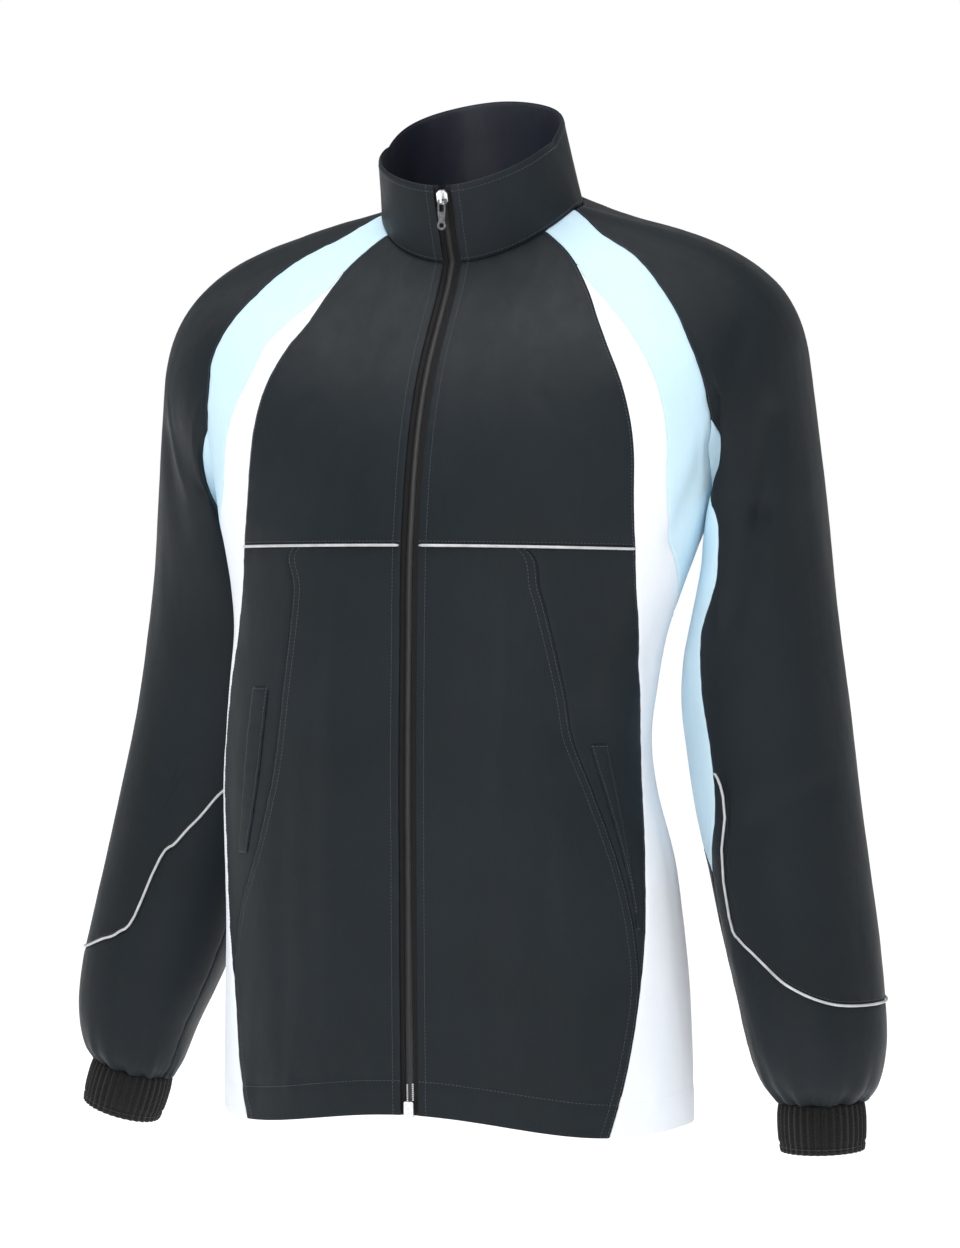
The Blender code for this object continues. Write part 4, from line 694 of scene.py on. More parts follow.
# %% A material's nodes, added one at a time
class Recipe:
    def __init__(self, name, **sockets):
        self.material = bpy.data.materials.new(name)
        self.material.use_nodes = True
        self.tree = self.material.node_tree
        self.shader = self.tree.nodes["Principled BSDF"]
        for socket, value in sockets.items():
            self.shader.inputs[socket.replace("_", " ").title().replace("Ior", "IOR")].default_value = value

    def add(self, kind, inputs=None, **settings):
        made = self.tree.nodes.new("ShaderNode" + kind)
        for key, value in settings.items():
            setattr(made, key, value)
        for key, value in (inputs or {}).items():
            if isinstance(value, bpy.types.NodeSocket):
                self.tree.links.new(value, made.inputs[key])
            else:
                made.inputs[key].default_value = value
        return made

    def link(self, socket, name):
        self.tree.links.new(socket, self.shader.inputs[name])

    def noise(self, place, scale, detail=3.0, roughness=0.55):
        inputs = {"Vector": place, "Scale": scale, "Detail": detail, "Roughness": roughness}
        return self.add("TexNoise", inputs).outputs["Fac"]

    def stretched(self, place, scale):
        return self.add("Mapping", {"Vector": place, "Scale": scale}).outputs["Vector"]

    def threads(self, place, pitch, direction):
        """Even waves, one for each thread, of this pitch in metres."""
        across = self.stretched(place, (1 / pitch, 1 / pitch, 1 / pitch))
        inputs = {"Vector": across, "Scale": math.pi / 10}
        return self.add("TexWave", inputs, wave_type="BANDS", bands_direction=direction).outputs["Fac"]

    def sum(self, operation, first, second):
        return self.add("Math", {0: first, 1: second}, operation=operation).outputs[0]

    def ramp(self, fac, *stops):
        made = self.add("ValToRGB", {"Fac": fac})
        while len(made.color_ramp.elements) < len(stops):
            made.color_ramp.elements.new(0.5)
        for element, (position, colour) in zip(made.color_ramp.elements, stops):
            element.position, element.color = position, (*colour, 1)
        return made.outputs["Color"]

    def rescaled(self, fac, low, high):
        inputs = {"Value": fac, "From Min": 0.3, "From Max": 0.7, "To Min": low, "To Max": high}
        return self.add("MapRange", inputs).outputs["Result"]

    def bump(self, height, distance, below=None):
        inputs = {"Height": height, "Distance": distance, "Strength": 1.0}
        if below is not None:
            inputs["Normal"] = below
        return self.add("Bump", inputs).outputs["Normal"]


# %% Woven nylon
def nylon(name, deep, light, roughness, pitch=0.0005, crinkle=0.00035, sheen=0.12, shine=0.26):
    r = Recipe(name, sheen_weight=sheen, sheen_roughness=0.45, specular_ior_level=shine)
    places = r.add("TexCoord")
    cloth, whole = places.outputs["UV"], places.outputs["Object"]
    over = r.sum("MULTIPLY_ADD", r.threads(cloth, pitch, "X"), 1.0)
    weave = r.sum("MULTIPLY", over, r.threads(cloth, pitch, "Y"))
    slubs = r.noise(r.stretched(cloth, (900, 40, 1)), 1.0, 2.0)
    patches = r.noise(whole, 9.0, 4.0)
    tone = r.sum("ADD", r.sum("MULTIPLY", patches, 0.7), r.sum("MULTIPLY", slubs, 0.3))
    r.link(r.ramp(tone, (0.32, deep), (0.68, light)), "Base Color")
    shine_patches = r.noise(r.stretched(whole, (1, 1, 0.3)), 60.0, 4.0)
    r.link(r.rescaled(shine_patches, roughness - 0.05, roughness + 0.07),
           "Roughness")
    crumple = r.bump(r.noise(r.stretched(whole, (1, 1, 0.45)), 70.0, 5.0, 0.6), crinkle)
    r.link(r.bump(weave, 0.00003, crumple), "Normal")
    return r.material


SLATE_NYLON = nylon("slate_nylon", (.0074, .0113, .0144), (.0108, .0156, .0198), 0.44, sheen=0.02, shine=0.15)
WHITE_NYLON = nylon("white_nylon", (.78, .83, .89), (.85, .88, .93), 0.5, sheen=0.03)
BLUE_NYLON = nylon("light_blue_nylon", (.53, .735, .86), (.61, .80, .90), 0.5, sheen=0.03)
NAVY_LINING = nylon("navy_satin", (.010, .012, .022), (.018, .022, .038), 0.36,
                    pitch=0.0004, sheen=0.05, shine=0.4)


# %% Ribbed knit
def ribbed_knit():
    r = Recipe("black_rib_knit", sheen_weight=0.10, sheen_roughness=0.6, specular_ior_level=0.15)
    places = r.add("TexCoord")
    cloth = places.outputs["UV"]
    lean = r.sum("MULTIPLY", r.threads(cloth, 0.0016, "DIAGONAL"), 0.5)
    loops = r.sum("ADD", r.threads(cloth, 0.0011, "Y"), lean)
    r.link(r.ramp(r.noise(cloth, 700.0), (0.3, (.0022, .0022, .0020)), (0.7, (.0055, .0055, .0050))),
           "Base Color")
    r.link(r.rescaled(r.noise(cloth, 400.0), 0.72, 0.9), "Roughness")
    r.link(r.bump(loops, 0.0003, r.bump(r.noise(cloth, 1500.0), 0.0001)), "Normal")
    return r.material


# %% Herringbone tape
def zip_tape_weave():
    r = Recipe("zip_tape_weave", specular_ior_level=0.2, sheen_weight=0.05)
    cloth = r.add("TexCoord").outputs["UV"]
    twill = r.threads(cloth, 0.0009, "DIAGONAL")
    ribs = r.threads(cloth, 0.0024, "X")
    r.link(r.ramp(r.noise(cloth, 500.0), (0.3, (.0028, .0028, .0034)), (0.7, (.0065, .0065, .0075))),
           "Base Color")
    r.link(r.rescaled(twill, 0.6, 0.8), "Roughness")
    r.link(r.bump(r.sum("ADD", twill, ribs), 0.0002), "Normal")
    return r.material


# %% Reflective piping, moulded coil, thread and metal
def beaded_piping():
    r = Recipe("beaded_piping", metallic=0.25, specular_ior_level=0.6, coat_weight=0.2)
    whole = r.add("TexCoord").outputs["Object"]
    beads = r.add("TexVoronoi", {"Vector": whole, "Scale": 4200.0}).outputs["Distance"]
    r.link(r.ramp(r.noise(whole, 90.0, 4.0), (0.3, (.42, .43, .45)), (0.7, (.60, .61, .63))), "Base Color")
    r.link(r.rescaled(r.noise(whole, 260.0), 0.34, 0.52), "Roughness")
    r.link(r.bump(beads, 0.00008), "Normal")
    return r.material


def moulded_coil():
    r = Recipe("moulded_coil", specular_ior_level=0.55)
    whole = r.add("TexCoord").outputs["Object"]
    r.link(r.ramp(r.noise(whole, 300.0), (0.3, (.0070, .0070, .0080)), (0.7, (.0160, .0160, .0175))),
           "Base Color")
    r.link(r.rescaled(r.noise(whole, 800.0), 0.26, 0.42), "Roughness")
    r.link(r.bump(r.noise(whole, 2500.0), 0.00004), "Normal")
    return r.material


def thread(name, deep, light):
    r = Recipe(name, sheen_weight=0.3, specular_ior_level=0.4)
    whole = r.add("TexCoord").outputs["Object"]
    r.link(r.ramp(r.noise(whole, 1200.0), (0.3, deep), (0.7, light)), "Base Color")
    r.link(r.rescaled(r.noise(whole, 900.0), 0.45, 0.62), "Roughness")
    r.link(r.bump(r.threads(whole, 0.0004, "DIAGONAL"), 0.00006), "Normal")
    return r.material


def cast_metal(name, deep, light, roughness):
    r = Recipe(name, metallic=1.0)
    whole = r.add("TexCoord").outputs["Object"]
    scratches = r.noise(r.stretched(whole, (3000, 3000, 260)), 1.0, 4.0)
    r.link(r.ramp(r.noise(whole, 500.0), (0.3, deep), (0.7, light)), "Base Color")
    r.link(r.rescaled(scratches, roughness - 0.08, roughness + 0.12), "Roughness")
    r.link(r.bump(scratches, 0.00002), "Normal")
    return r.material


RIB_KNIT, TAPE_WEAVE = ribbed_knit(), zip_tape_weave()
BEADED_PIPING, COIL_PLASTIC = beaded_piping(), moulded_coil()
SLATE_THREAD = thread("slate_thread", (.016, .020, .028), (.034, .040, .052))
WHITE_THREAD = thread("white_thread", (.78, .80, .83), (.92, .93, .95))
BLACK_THREAD = thread("black_thread", (.014, .014, .015), (.040, .040, .042))
SILVER = cast_metal("satin_silver", (.62, .63, .64), (.80, .81, .82), 0.3)
GUNMETAL = cast_metal("dark_gunmetal", (.14, .14, .15), (.26, .26, .27), 0.34)
print("finishes:", ", ".join(m.name for m in bpy.data.materials))

# %% [markdown]
# ## The body's panels
# Each panel is a grid of points between two seams. The rows run evenly down the cloth and close up at its
# borders, where the sewn edge needs finer steps. The chest piece, the lower front and the side front are
# dark. The light blue stripe follows the raglan seam, and the white panel fills the side between them.

# %% Even rows down the body
def rows_down(start, end, degrees, step, zone=BODY_ZONE):
    trial = np.linspace(start, end, 500)
    line = body_place(trial, degrees(trial) if callable(degrees) else degrees, zone)
    walked = np.concatenate(([0], np.cumsum(np.linalg.norm(np.diff(line, axis=0), axis=1))))
    return np.interp(spread_shares(walked[-1], step) * walked[-1], walked, trial)


def widest(rows, low, high, zone):
    trial = low[:, None] + (high - low)[:, None] * np.linspace(0, 1, 50)
    across = body_place(rows[:, None], trial, zone)
    return np.linalg.norm(np.diff(across, axis=1), axis=-1).sum(axis=1).max()


def body_panel(name, node, rows, low, high, step, material, slot, zone=BODY_ZONE, extra=None, **sewing):
    shares = spread_shares(widest(rows, low, high, zone), step)
    degrees = low[:, None] + (high - low)[:, None] * shares
    base = body_place(rows[:, None], degrees, zone)
    normals = body_normal(rows[:, None], degrees, zone)
    if callable(extra):
        extra = extra(base)
    return sew_panel(name, node, base, normals, material, slot, extra=extra, **sewing)


# %% Where each panel ends
def tip_degrees(rows):
    return np.degrees(0.0011 / read_rows(BODY, rows, *BODY_ZONE)[..., 0])


def front_edge(rows, side):
    return seam_at(rows, "edge", side)


def stripe_edge(rows, side):
    edge = front_edge(rows, side)
    apart = np.maximum(seam_at(rows, "stripe", side), edge + tip_degrees(rows))
    return np.where(rows < STRIPE_START_ROW, edge, apart)


def lower_edge(rows, side):
    edge = front_edge(rows, side)
    apart = np.minimum(seam_at(rows, "lower", side), edge - tip_degrees(rows))
    return np.where(rows > LOWER_SEAM_END, edge, apart)


def sleeve_edge(rows, side):
    below = np.where(rows >= GUSSET_TIP_ROW, stripe_edge(rows, side) + tip_degrees(rows),
                     seam_at(rows, "back"))
    return np.where(rows <= UNDERARM_ROW, seam_at(rows, "raglan", side), below)


def side_panel_edge(rows, side):
    own = np.minimum(stripe_edge(rows, side), seam_at(rows, "back") - tip_degrees(rows))
    return np.where(rows <= GUSSET_TIP_ROW, own, seam_at(rows, "back"))


# %% The fronts, the stripes and the side panels
SIDES = (("_left", 1), ("_right", -1))
STEP = 0.0040
panels = {}
for side, sign in SIDES:
    seed = 3.0 + sign
    rows = rows_down(NECK_ROW, CHEST_ROW, sign * 20.0, STEP)
    panels["front_upper" + side] = body_panel(
        "chest_panel" + side, "front_upper" + side, rows, degrees_at(rows, sign * ZIP_OPENING),
        sign * front_edge(rows, side), STEP, SLATE_NYLON, "slate_cloth",
        borders={"left": "fold", "right": "sewn", "top": "sewn", "bottom": "sewn"}, seed=seed)
    rows = rows_down(CHEST_ROW, HEM_ROW, sign * 20.0, STEP)
    panels["front_lower" + side] = body_panel(
        "lower_front" + side, "front_lower" + side, rows, degrees_at(rows, sign * ZIP_OPENING),
        sign * lower_edge(rows, side), STEP, SLATE_NYLON, "slate_cloth",
        borders={"left": "fold", "right": "sewn", "top": "sewn", "bottom": "hem"}, seed=seed + 1)
    rows = rows_down(CHEST_ROW, LOWER_SEAM_END, sign * 50.0, STEP)
    panels["front_side" + side] = body_panel(
        "side_front" + side, "front_side" + side, rows, sign * lower_edge(rows, side),
        sign * front_edge(rows, side), STEP, SLATE_NYLON, "slate_cloth",
        borders={"left": "sewn", "right": "sewn", "top": "sewn"}, seed=seed + 2)
    rows = rows_down(STRIPE_START_ROW, HEM_ROW, sign * 80.0, STEP)
    panels["side_panel" + side] = body_panel(
        "white_side_panel" + side, "side_panel" + side, rows, sign * front_edge(rows, side),
        sign * side_panel_edge(rows, side), STEP, WHITE_NYLON, "white_cloth",
        borders={"left": "sewn", "right": "sewn", "bottom": "hem"}, seed=seed + 3)
    rows = rows_down(NECK_ROW, GUSSET_TIP_ROW, sign * 60.0, STEP)
    panels["raglan_stripe" + side] = body_panel(
        "raglan_stripe" + side + "_cloth", "raglan_stripe" + side, rows, sign * stripe_edge(rows, side),
        sign * sleeve_edge(rows, side), STEP, BLUE_NYLON, "light_blue_cloth",
        borders={"left": "sewn", "right": "sewn", "top": "sewn"}, seed=seed + 4)

# %% The back
rows = rows_down(NECK_ROW, HEM_ROW, 180.0, 0.0048)
back_edge = seam_at(rows, "back")
panels["back"] = body_panel(
    "back_panel", "back", rows, back_edge, 360 - back_edge, 0.0046, SLATE_NYLON, "slate_cloth",
    borders={"left": "sewn", "right": "sewn", "top": "sewn", "bottom": "hem"}, seed=9.0)

# %% [markdown]
# ## The collar
# A stand collar is two layers: the outer one turns over at the top and is stitched to a smooth navy facing.
# The outer layer rolls in over its last two millimetres, and the facing lies just inside it.

# %% The collar and its facing
def turned_top(base):
    away = distances(base)
    return -0.0013 * np.exp(-((away["top"] / 0.0011) ** 2))


rows = rows_down(0, NECK_ROW, 180.0, 0.0036, COLLAR_ZONE)
panels["collar"] = body_panel(
    "stand_collar", "collar", rows, degrees_at(rows, ZIP_OPENING, COLLAR_ZONE),
    360 + degrees_at(rows, -ZIP_OPENING, COLLAR_ZONE), 0.0036, SLATE_NYLON, "slate_cloth", zone=COLLAR_ZONE,
    borders={"left": "fold", "right": "fold", "bottom": "sewn"}, thickness=0.0009, extra=turned_top,
    seed=5.0, wavy=0.8)


def just_inside(base):
    away = distances(base)
    return -0.0019 + 0.0008 * np.exp(-((away["top"] / 0.0015) ** 2))


panels["collar_facing"] = body_panel(
    "navy_facing", "collar_facing", rows, degrees_at(rows, 0.0150, COLLAR_ZONE),
    360 + degrees_at(rows, -0.0150, COLLAR_ZONE), 0.0036, NAVY_LINING, "navy_lining", zone=COLLAR_ZONE,
    borders={"bottom": "sewn"}, thickness=0.0005, extra=just_inside, seed=6.0, wavy=0.8)

# %% [markdown]
# ## The sleeves
# The upper piece wraps over the arm from one edge of the underarm stripe to the other. The forearm piece
# begins at the piped seam and is gathered into the cuff: its fullness stands in soft uneven pleats that fade
# out upwards. The gathers are added to the points as waves that grow towards the cuff.

# %% Gathers at the wrist
GATHER_ROWS, GATHER_DEPTH = 2.3, 0.0029


def gathers(row, degrees, seed):
    near = np.clip((row - (CUFF_ROW - GATHER_ROWS)) / GATHER_ROWS, 0, 1)
    drift = 7 * np.sin(np.radians(degrees * 2) + seed) + 4 * np.sin(np.radians(degrees * 5) + 2 * seed)
    wide = np.sin(np.radians((degrees + drift) * 13))
    fine = np.sin(np.radians((degrees - drift) * 29) + seed)
    reach = 0.75 + 0.25 * np.sin(np.radians(degrees * 7) + 3 * seed)
    held_in = 1 - 0.6 * np.clip((row - (CUFF_ROW - 0.28)) / 0.28, 0, 1)
    return GATHER_DEPTH * near ** (1.6 / reach) * held_in * (wide + 0.45 * fine * near) / 1.3


# %% The two sleeves and their stripes
def sleeve_piece(name, node, sleeve, rows, degrees, material, slot, seed, borders, extra=None):
    base = sleeve.place(rows, degrees)
    panels[node] = sew_panel(name, node, base, sleeve.normal(rows, degrees), material, slot,
                             borders=borders, extra=extra, seed=seed)


SLEEVE_STEP = 0.0042
for side, sign in SIDES:
    sleeve = ARMS[side[1:]]
    seed = 12.0 + 2 * sign
    sewn = {"left": "sewn", "right": "sewn", "top": "sewn", "bottom": "sewn"}
    shares = spread_shares(0.40, SLEEVE_STEP)
    down = spread_shares(0.62, SLEEVE_STEP)[:, None]
    ends = sleeve.piping_row(shares)
    rows = SLEEVE_START + (ends - SLEEVE_START) * down
    sleeve_piece("sleeve_upper_cloth" + side, "sleeve_upper" + side, sleeve, rows,
                 sleeve.around(rows, shares), SLATE_NYLON, "slate_cloth", seed, sewn)
    shares = spread_shares(0.34, 0.0030)
    ends = sleeve.piping_row(shares)
    rows = ends + (CUFF_ROW - ends) * spread_shares(0.24, 0.0036)[:, None]
    turn = sleeve.around(rows, shares)
    sleeve_piece("forearm_cloth" + side, "sleeve_lower" + side, sleeve, rows, turn, SLATE_NYLON,
                 "slate_cloth", seed + 1, sewn, gathers(rows, turn, seed))
    down = SLEEVE_START + (STRIPE_TIP_ROW - SLEEVE_START) * spread_shares(0.52, SLEEVE_STEP)[:, None]
    front, rear = sleeve.stripe_edges(down)
    rows = down + 0 * front
    turn = front + (rear - front) * spread_shares(0.16, 0.0038)
    sleeve_piece("underarm_stripe" + side, "sleeve_stripe" + side, sleeve, rows + 0 * turn, turn, BLUE_NYLON,
                 "light_blue_cloth", seed + 2, {"left": "sewn", "right": "sewn", "top": "sewn"})

# %% [markdown]
# ## The cuffs
# Each cuff is a wide elastic in a ribbed knit tube. The ribs are a smooth wave round the band, drawn in where
# one line of stitching runs near the lower edge. The knit itself is bump.

# %% Ribbed bands
CUFF_HEIGHT, CUFF_RIBS, RIB_DEPTH, POINTS_A_RIB = 0.037, 36, 0.0015, 8


def ribbed_cuff(side, sleeve):
    count, bands = CUFF_RIBS * POINTS_A_RIB, 18
    turn = np.arange(count) * 360 / count
    ring = sleeve.ring_place(float(CUFF_ROW - SHOULDER_SPAN), turn)
    middle = ring.mean(axis=0)
    down = unit(np.cross(ring[count // 4] - middle, ring[0] - middle))
    down = down if down[2] < 0 else -down
    outward = unit(ring - middle)
    shares = np.linspace(0, 1, bands)
    swell = smooth_read([0, .12, .35, .70, .9, 1], [-.0006, .0002, .0008, .0004, -.0004, -.0012], shares)
    stitched = np.exp(-(((shares - 0.84) / 0.03) ** 2))
    wave = (0.5 + 0.5 * np.cos(np.radians(turn * CUFF_RIBS))) ** 0.8
    uneven = 1 + 0.12 * np.sin(np.radians(turn * 5) + 1.3)
    height = swell[:, None] - 0.0005 * stitched[:, None]
    height = height + RIB_DEPTH * wave * uneven * (1 - 0.45 * stitched[:, None])
    along = down * (0.0002 + CUFF_HEIGHT * shares)[:, None]
    outer = ring + along[:, None] + outward * height[..., None]
    inner = ring + along[:, None] - outward * 0.0013
    points = np.concatenate((outer.reshape(-1, 3), inner.reshape(-1, 3)))
    layer, faces = bands * count, []
    for band in range(bands - 1):
        for k in range(count):
            a, b = band * count + k, band * count + (k + 1) % count
            faces.append((a, b, b + count, a + count))
            faces.append((layer + a + count, layer + b + count, layer + b, layer + a))
    for k in range(count):
        b, last = (k + 1) % count, layer - count
        faces.append((layer + k, layer + b, b, k))
        faces.append((k + last, b + last, layer + b + last, layer + k + last))
    girth = float(np.linalg.norm(np.roll(ring, -1, axis=0) - ring, axis=1).sum())
    uv = np.stack(np.broadcast_arrays(turn / 360 * girth, -shares[:, None] * CUFF_HEIGHT), -1).reshape(-1, 2)
    if sleeve.sign > 0:
        faces = [tuple(reversed(face)) for face in faces]
    made = new_object("ribbed_cuff" + side, points, faces, RIB_KNIT, np.vstack((uv, uv)))
    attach(made, "garment")
    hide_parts("cuff" + side)
    print(f"cuff: {1000 * girth:.0f} mm round")
    return outer, outward


cuffs = {side: ribbed_cuff(side, ARMS[side[1:]]) for side, _ in SIDES}

# %% [markdown]
# ## Piping and pocket welts
# A reflective cord is sewn into the chest seam and into the forearm seam. Only its round edge shows, so it is
# a thin tube that follows the seam just above the cloth. The welts are narrow strips on the side fronts.

# %% A round piece along a line
def round_cord(name, node, centres, radius, material, sides=8):
    along = unit(np.gradient(centres, axis=0))
    first = unit(np.cross(along, (0.13, 0.99, 0.06)))
    second = np.cross(along, first)
    turn = np.arange(sides) * 2 * math.pi / sides
    ring = first[:, None] * np.cos(turn)[:, None] + second[:, None] * np.sin(turn)[:, None]
    shrink = np.ones(len(centres))
    shrink[[0, -1]] = 0.6
    points = (centres[:, None] + ring * radius * shrink[:, None, None]).reshape(-1, 3)
    faces = []
    for k in range(len(centres) - 1):
        for s in range(sides):
            a, b = k * sides + s, k * sides + (s + 1) % sides
            faces.append((a, b, b + sides, a + sides))
    faces += [tuple(reversed(range(sides))), tuple(range(len(points) - sides, len(points)))]
    made = new_object(name, points, faces, material)
    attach(made, "garment")
    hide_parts(node)
    return made


def on_folded(base, normals, height):
    rise = height - folds_at(base, FOLDS) - folds_at(base, CREASES) + waviness(base)
    return base + normals * rise[..., None]


# %% The pipings
PIPING_RADIUS, PIPING_LIFT = 0.0011, 0.0013
for side, sign in SIDES:
    sleeve = ARMS[side[1:]]
    shares = np.linspace(0.006, 0.994, 150)
    rows = sleeve.piping_row(shares)
    turn = sleeve.around(rows, shares)
    centres = on_folded(sleeve.place(rows, turn), sleeve.normal(rows, turn), PIPING_LIFT)
    round_cord("forearm_piping" + side, "sleeve_piping" + side, centres, PIPING_RADIUS, BEADED_PIPING)
    start = float(degrees_at(np.array(float(CHEST_ROW)), sign * (ZIP_OPENING + 0.001)))
    turn = np.linspace(start, sign * (float(front_edge(np.array(12.0), side)) - 0.4), 70)
    rows = np.full(70, float(CHEST_ROW))
    centres = on_folded(body_place(rows, turn), body_normal(rows, turn), PIPING_LIFT)
    round_cord("chest_piping_cord" + side, "chest_piping" + side, centres, PIPING_RADIUS, BEADED_PIPING)

# %% The welts
WELTS = {"_left": (16, 19), "_right": (15, 18)}
WELT_SHARES = (0.16, 0.38)
for side, sign in SIDES:
    rows = rows_down(*WELTS[side], sign * 60.0, 0.0035)
    low, high = sign * lower_edge(rows, side), sign * front_edge(rows, side)
    ends = [low + (high - low) * share for share in WELT_SHARES]
    panels["pocket_welt" + side] = body_panel(
        "welt_cloth" + side, "pocket_welt" + side, rows, *ends, 0.0030, SLATE_NYLON, "slate_cloth",
        borders={"left": "sewn", "right": "sewn", "top": "sewn", "bottom": "sewn"}, seed=21.0 + sign,
        extra=lambda base: np.full(base.shape[:2], 0.0014), held="laid")

# %% [markdown]
# ## The zip
# Both tapes lie just behind the fronts. A moulded coil closes them: small loops reach in turn from the left
# and from the right tape past the middle. The loops are one mesh, made by placing one small tooth on many
# frames along the zip. The slider, the pull tab and the bottom box keep the solid's shape and get metal.

# %% Frames along the zip
def zip_line(x, depth, step, start=0.0, end=float(HEM_ROW)):
    """Places down the zip at this distance from its middle, evenly spaced, with outward directions."""
    rows = np.linspace(start, end, 1500)
    collar = rows < NECK_ROW
    spots, ways = np.empty((1500, 3)), np.empty((1500, 3))
    for zone, part in ((COLLAR_ZONE, collar), (BODY_ZONE, ~collar)):
        turn = degrees_at(rows[part], x, zone) if x else np.zeros(part.sum())
        spots[part], ways[part] = body_place(rows[part], turn, zone), body_normal(rows[part], turn, zone)
    spots = on_folded(spots, ways, depth)
    walked = np.concatenate(([0], np.cumsum(np.linalg.norm(np.diff(spots, axis=0), axis=1))))
    at = np.linspace(0, walked[-1], max(2, int(walked[-1] / step) + 1))
    read = lambda values: np.stack([np.interp(at, walked, values[:, k]) for k in range(3)], -1)
    return read(spots), unit(read(ways))


# %% The tapes
TAPE_DEPTH = -0.0016
for side, sign in SIDES:
    across = np.linspace(0.0029, 0.0165, 12)
    columns = [zip_line(sign * x, TAPE_DEPTH, 0.0045) for x in across]
    count = min(len(spots) for spots, _ in columns)
    at = [np.linspace(0, len(spots) - 1, count).round().astype(int) for spots, _ in columns]
    base = np.stack([spots[k] for (spots, _), k in zip(columns, at)], axis=1)
    ways = np.stack([ways[k] for (_, ways), k in zip(columns, at)], axis=1)
    flat = np.zeros(base.shape[:2])
    panels["zip_tape" + side] = sew_panel(
        "zip_tape_cloth" + side, "zip_tape" + side, base, ways, TAPE_WEAVE, "zip_tape", thickness=0.0007,
        extra=flat + folds_at(base, FOLDS) + folds_at(base, CREASES), wavy=0, gap=0, held="laid")


# %% Many small pieces as one mesh
def many(name, template, faces, spots, along, out, sizes, material, node=None):
    """The template (x along, y across, z out) placed on every frame, joined to one mesh."""
    across = unit(np.cross(out, along))
    out = np.cross(along, across)
    shape = template[None] * np.asarray(sizes)[:, None, :]
    points = (spots[:, None] + shape[..., :1] * along[:, None] + shape[..., 1:2] * across[:, None]
              + shape[..., 2:] * out[:, None]).reshape(-1, 3)
    every = [tuple(corner + k * len(template) for corner in face)
             for k in range(len(spots)) for face in faces]
    made = new_object(name, points, every, material)
    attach(made, "garment")
    if node:
        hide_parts(node)
    print(f"{name}: {len(spots)} pieces")
    return made


def capsule(stations, sides, turn=0.0):
    """A rod along x through (x, radius, lift) stations, closed at its ends."""
    angles = np.arange(sides) * 2 * math.pi / sides + turn
    points = [(x, radius * math.cos(a), lift + radius * math.sin(a))
              for x, radius, lift in stations for a in angles]
    faces = [(k * sides + s, k * sides + (s + 1) % sides,
              (k + 1) * sides + (s + 1) % sides, (k + 1) * sides + s)
             for k in range(len(stations) - 1) for s in range(sides)]
    faces += [tuple(reversed(range(sides))), tuple(range(len(points) - sides, len(points)))]
    return np.array(points), faces


# %% The coil
SLIDER_ROW, BOX_ROW = 0.36, HEM_ROW - 0.19
TOOTH_PITCH = 0.00150
spots, ways = zip_line(0.0, -0.0014, TOOTH_PITCH / 2, SLIDER_ROW + 0.20, BOX_ROW - 0.13)
down = unit(np.gradient(spots, axis=0))
sideways = unit(np.cross(down, ways))
hand = np.where(np.arange(len(spots)) % 2 == 0, 1.0, -1.0)[:, None]
tooth, tooth_faces = capsule([(-.5, .62, -.1), (-.38, .9, 0), (.05, 1, .1), (.34, 1.15, .15), (.5, .7, 0)], 6)
many("zip_coil_teeth", tooth, tooth_faces, spots + sideways * hand * -0.0007, sideways * hand, ways,
     np.tile((0.0042, 0.00052, 0.00085), (len(spots), 1)), COIL_PLASTIC, "zip_coil")

# %% Metal on the carried-over fittings
for node, metal in (("zip_slider", SILVER), ("zip_pull_tab", GUNMETAL), ("zip_box", SILVER)):
    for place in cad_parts[node].material_slots:
        place.material = metal

# %% [markdown]
# ## Stitching
# Topstitching runs beside the zip, along the seams and round the hems. Each stitch is a short rod whose ends
# dip into the cloth, and its place is read off the panel's own finished surface, so it follows every fold.
# All the stitches of one thread are one mesh.

# %% Lines on a finished panel
def line_beside(panel, border, distance):
    """Points and directions on the panel's outer face, this far inside one border."""
    away = distances(panel.points)[border]
    points, ways = panel.points, panel.normals
    if border in ("top", "bottom"):
        away, points, ways = away.T, points.swapaxes(0, 1), ways.swapaxes(0, 1)
    spots, directions = [], []
    for lengths, row, outward in zip(away, points, ways):
        order = slice(None) if lengths[0] < lengths[-1] else slice(None, None, -1)
        if max(lengths[0], lengths[-1]) > 1.6 * distance:
            spots.append([np.interp(distance, lengths[order], row[order, k]) for k in range(3)])
            directions.append([np.interp(distance, lengths[order], outward[order, k]) for k in range(3)])
    return np.array(spots), unit(np.array(directions))


STITCH, STITCH_FACES = capsule(
    [(-.5, .5, -1.2), (-.36, .95, -.2), (0, 1.05, .15), (.36, .95, -.2), (.5, .5, -1.2)], 5)
thread_runs = {}


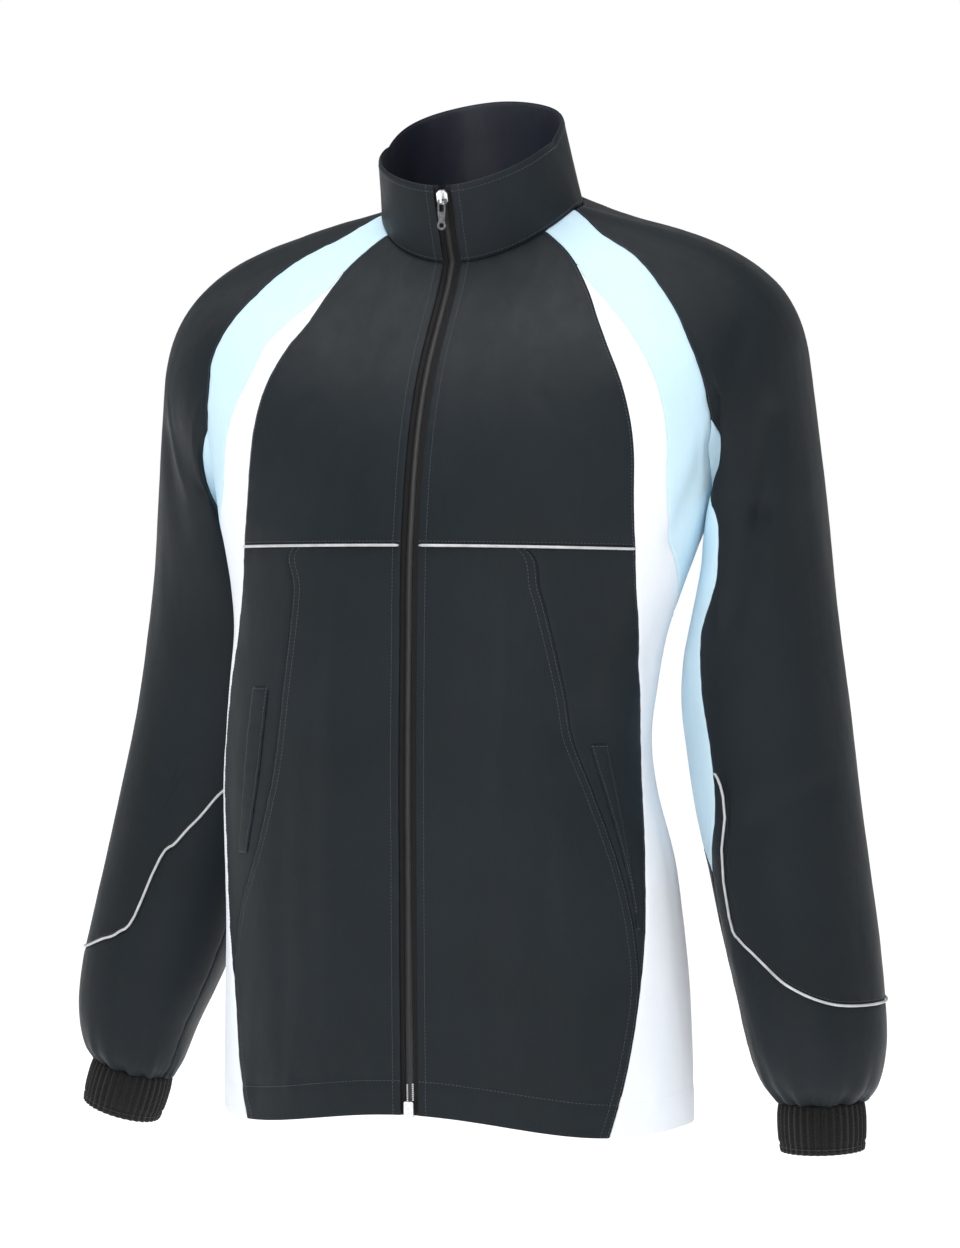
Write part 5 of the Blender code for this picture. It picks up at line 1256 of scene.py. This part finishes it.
def topstitch(kind, spots, ways, pitch=0.0029, length=0.0023, radius=0.00027):
    walked = np.concatenate(([0], np.cumsum(np.linalg.norm(np.diff(spots, axis=0), axis=1))))
    count = max(2, int(walked[-1] / pitch))
    at = (np.arange(count) + 0.5) * walked[-1] / count
    read = lambda values, where: np.stack([np.interp(where, walked, values[:, k]) for k in range(3)], -1)
    along = unit(read(spots, at + length / 2) - read(spots, at - length / 2))
    sizes = np.tile((length, radius, radius), (count, 1))
    thread_runs.setdefault(kind, []).append((read(spots, at), along, unit(read(ways, at)), sizes))


# %% Every stitched line
for side, sign in SIDES:
    for node in ("front_upper", "front_lower"):
        topstitch("slate", *line_beside(panels[node + side], "left", ZIP_STITCH))
    topstitch("slate", *line_beside(panels["front_upper" + side], "bottom", 0.0032))
    topstitch("slate", *line_beside(panels["front_lower" + side], "right", 0.0022))
    topstitch("slate", *line_beside(panels["front_lower" + side], "right", 0.0075))
    topstitch("slate", *line_beside(panels["front_upper" + side], "right", 0.0020))
    topstitch("slate", *line_beside(panels["front_side" + side], "right", 0.0020))
    for border, distance in (("left", 0.0018), ("right", 0.0018), ("top", 0.0018), ("bottom", 0.0018)):
        topstitch("slate", *line_beside(panels["pocket_welt" + side], border, distance))
    topstitch("slate", *line_beside(panels["front_lower" + side], "bottom", HEM_DEPTH))
    topstitch("white", *line_beside(panels["side_panel" + side], "bottom", HEM_DEPTH))
    topstitch("slate", *line_beside(panels["sleeve_upper" + side], "bottom", 0.0030))
    topstitch("slate", *line_beside(panels["sleeve_upper" + side], "top", 0.0022))
    outer, outward = cuffs[side]
    band = 15
    ring = np.concatenate((outer[band], outer[band, :1]))
    topstitch("black", ring, np.concatenate((outward, outward[:1])), 0.0024, 0.0021, 0.00024)
topstitch("slate", *line_beside(panels["back"], "bottom", HEM_DEPTH))
topstitch("slate", *line_beside(panels["back"], "left", 0.0022))
topstitch("slate", *line_beside(panels["back"], "right", 0.0022))
topstitch("slate", *line_beside(panels["collar"], "top", 0.0050))
topstitch("slate", *line_beside(panels["collar"], "bottom", 0.0030))
for border in ("left", "right"):
    topstitch("slate", *line_beside(panels["collar"], border, ZIP_STITCH))

# %% The stitches as one mesh for each thread
for kind, finish, slot in (("slate", SLATE_THREAD, "slate_cloth"), ("white", WHITE_THREAD, "white_cloth"),
                           ("black", BLACK_THREAD, "black_rib")):
    runs = [np.concatenate(parts) for parts in zip(*thread_runs[kind])]
    many(kind + "_stitches", STITCH, STITCH_FACES, runs[0], runs[1], runs[2], runs[3], finish)
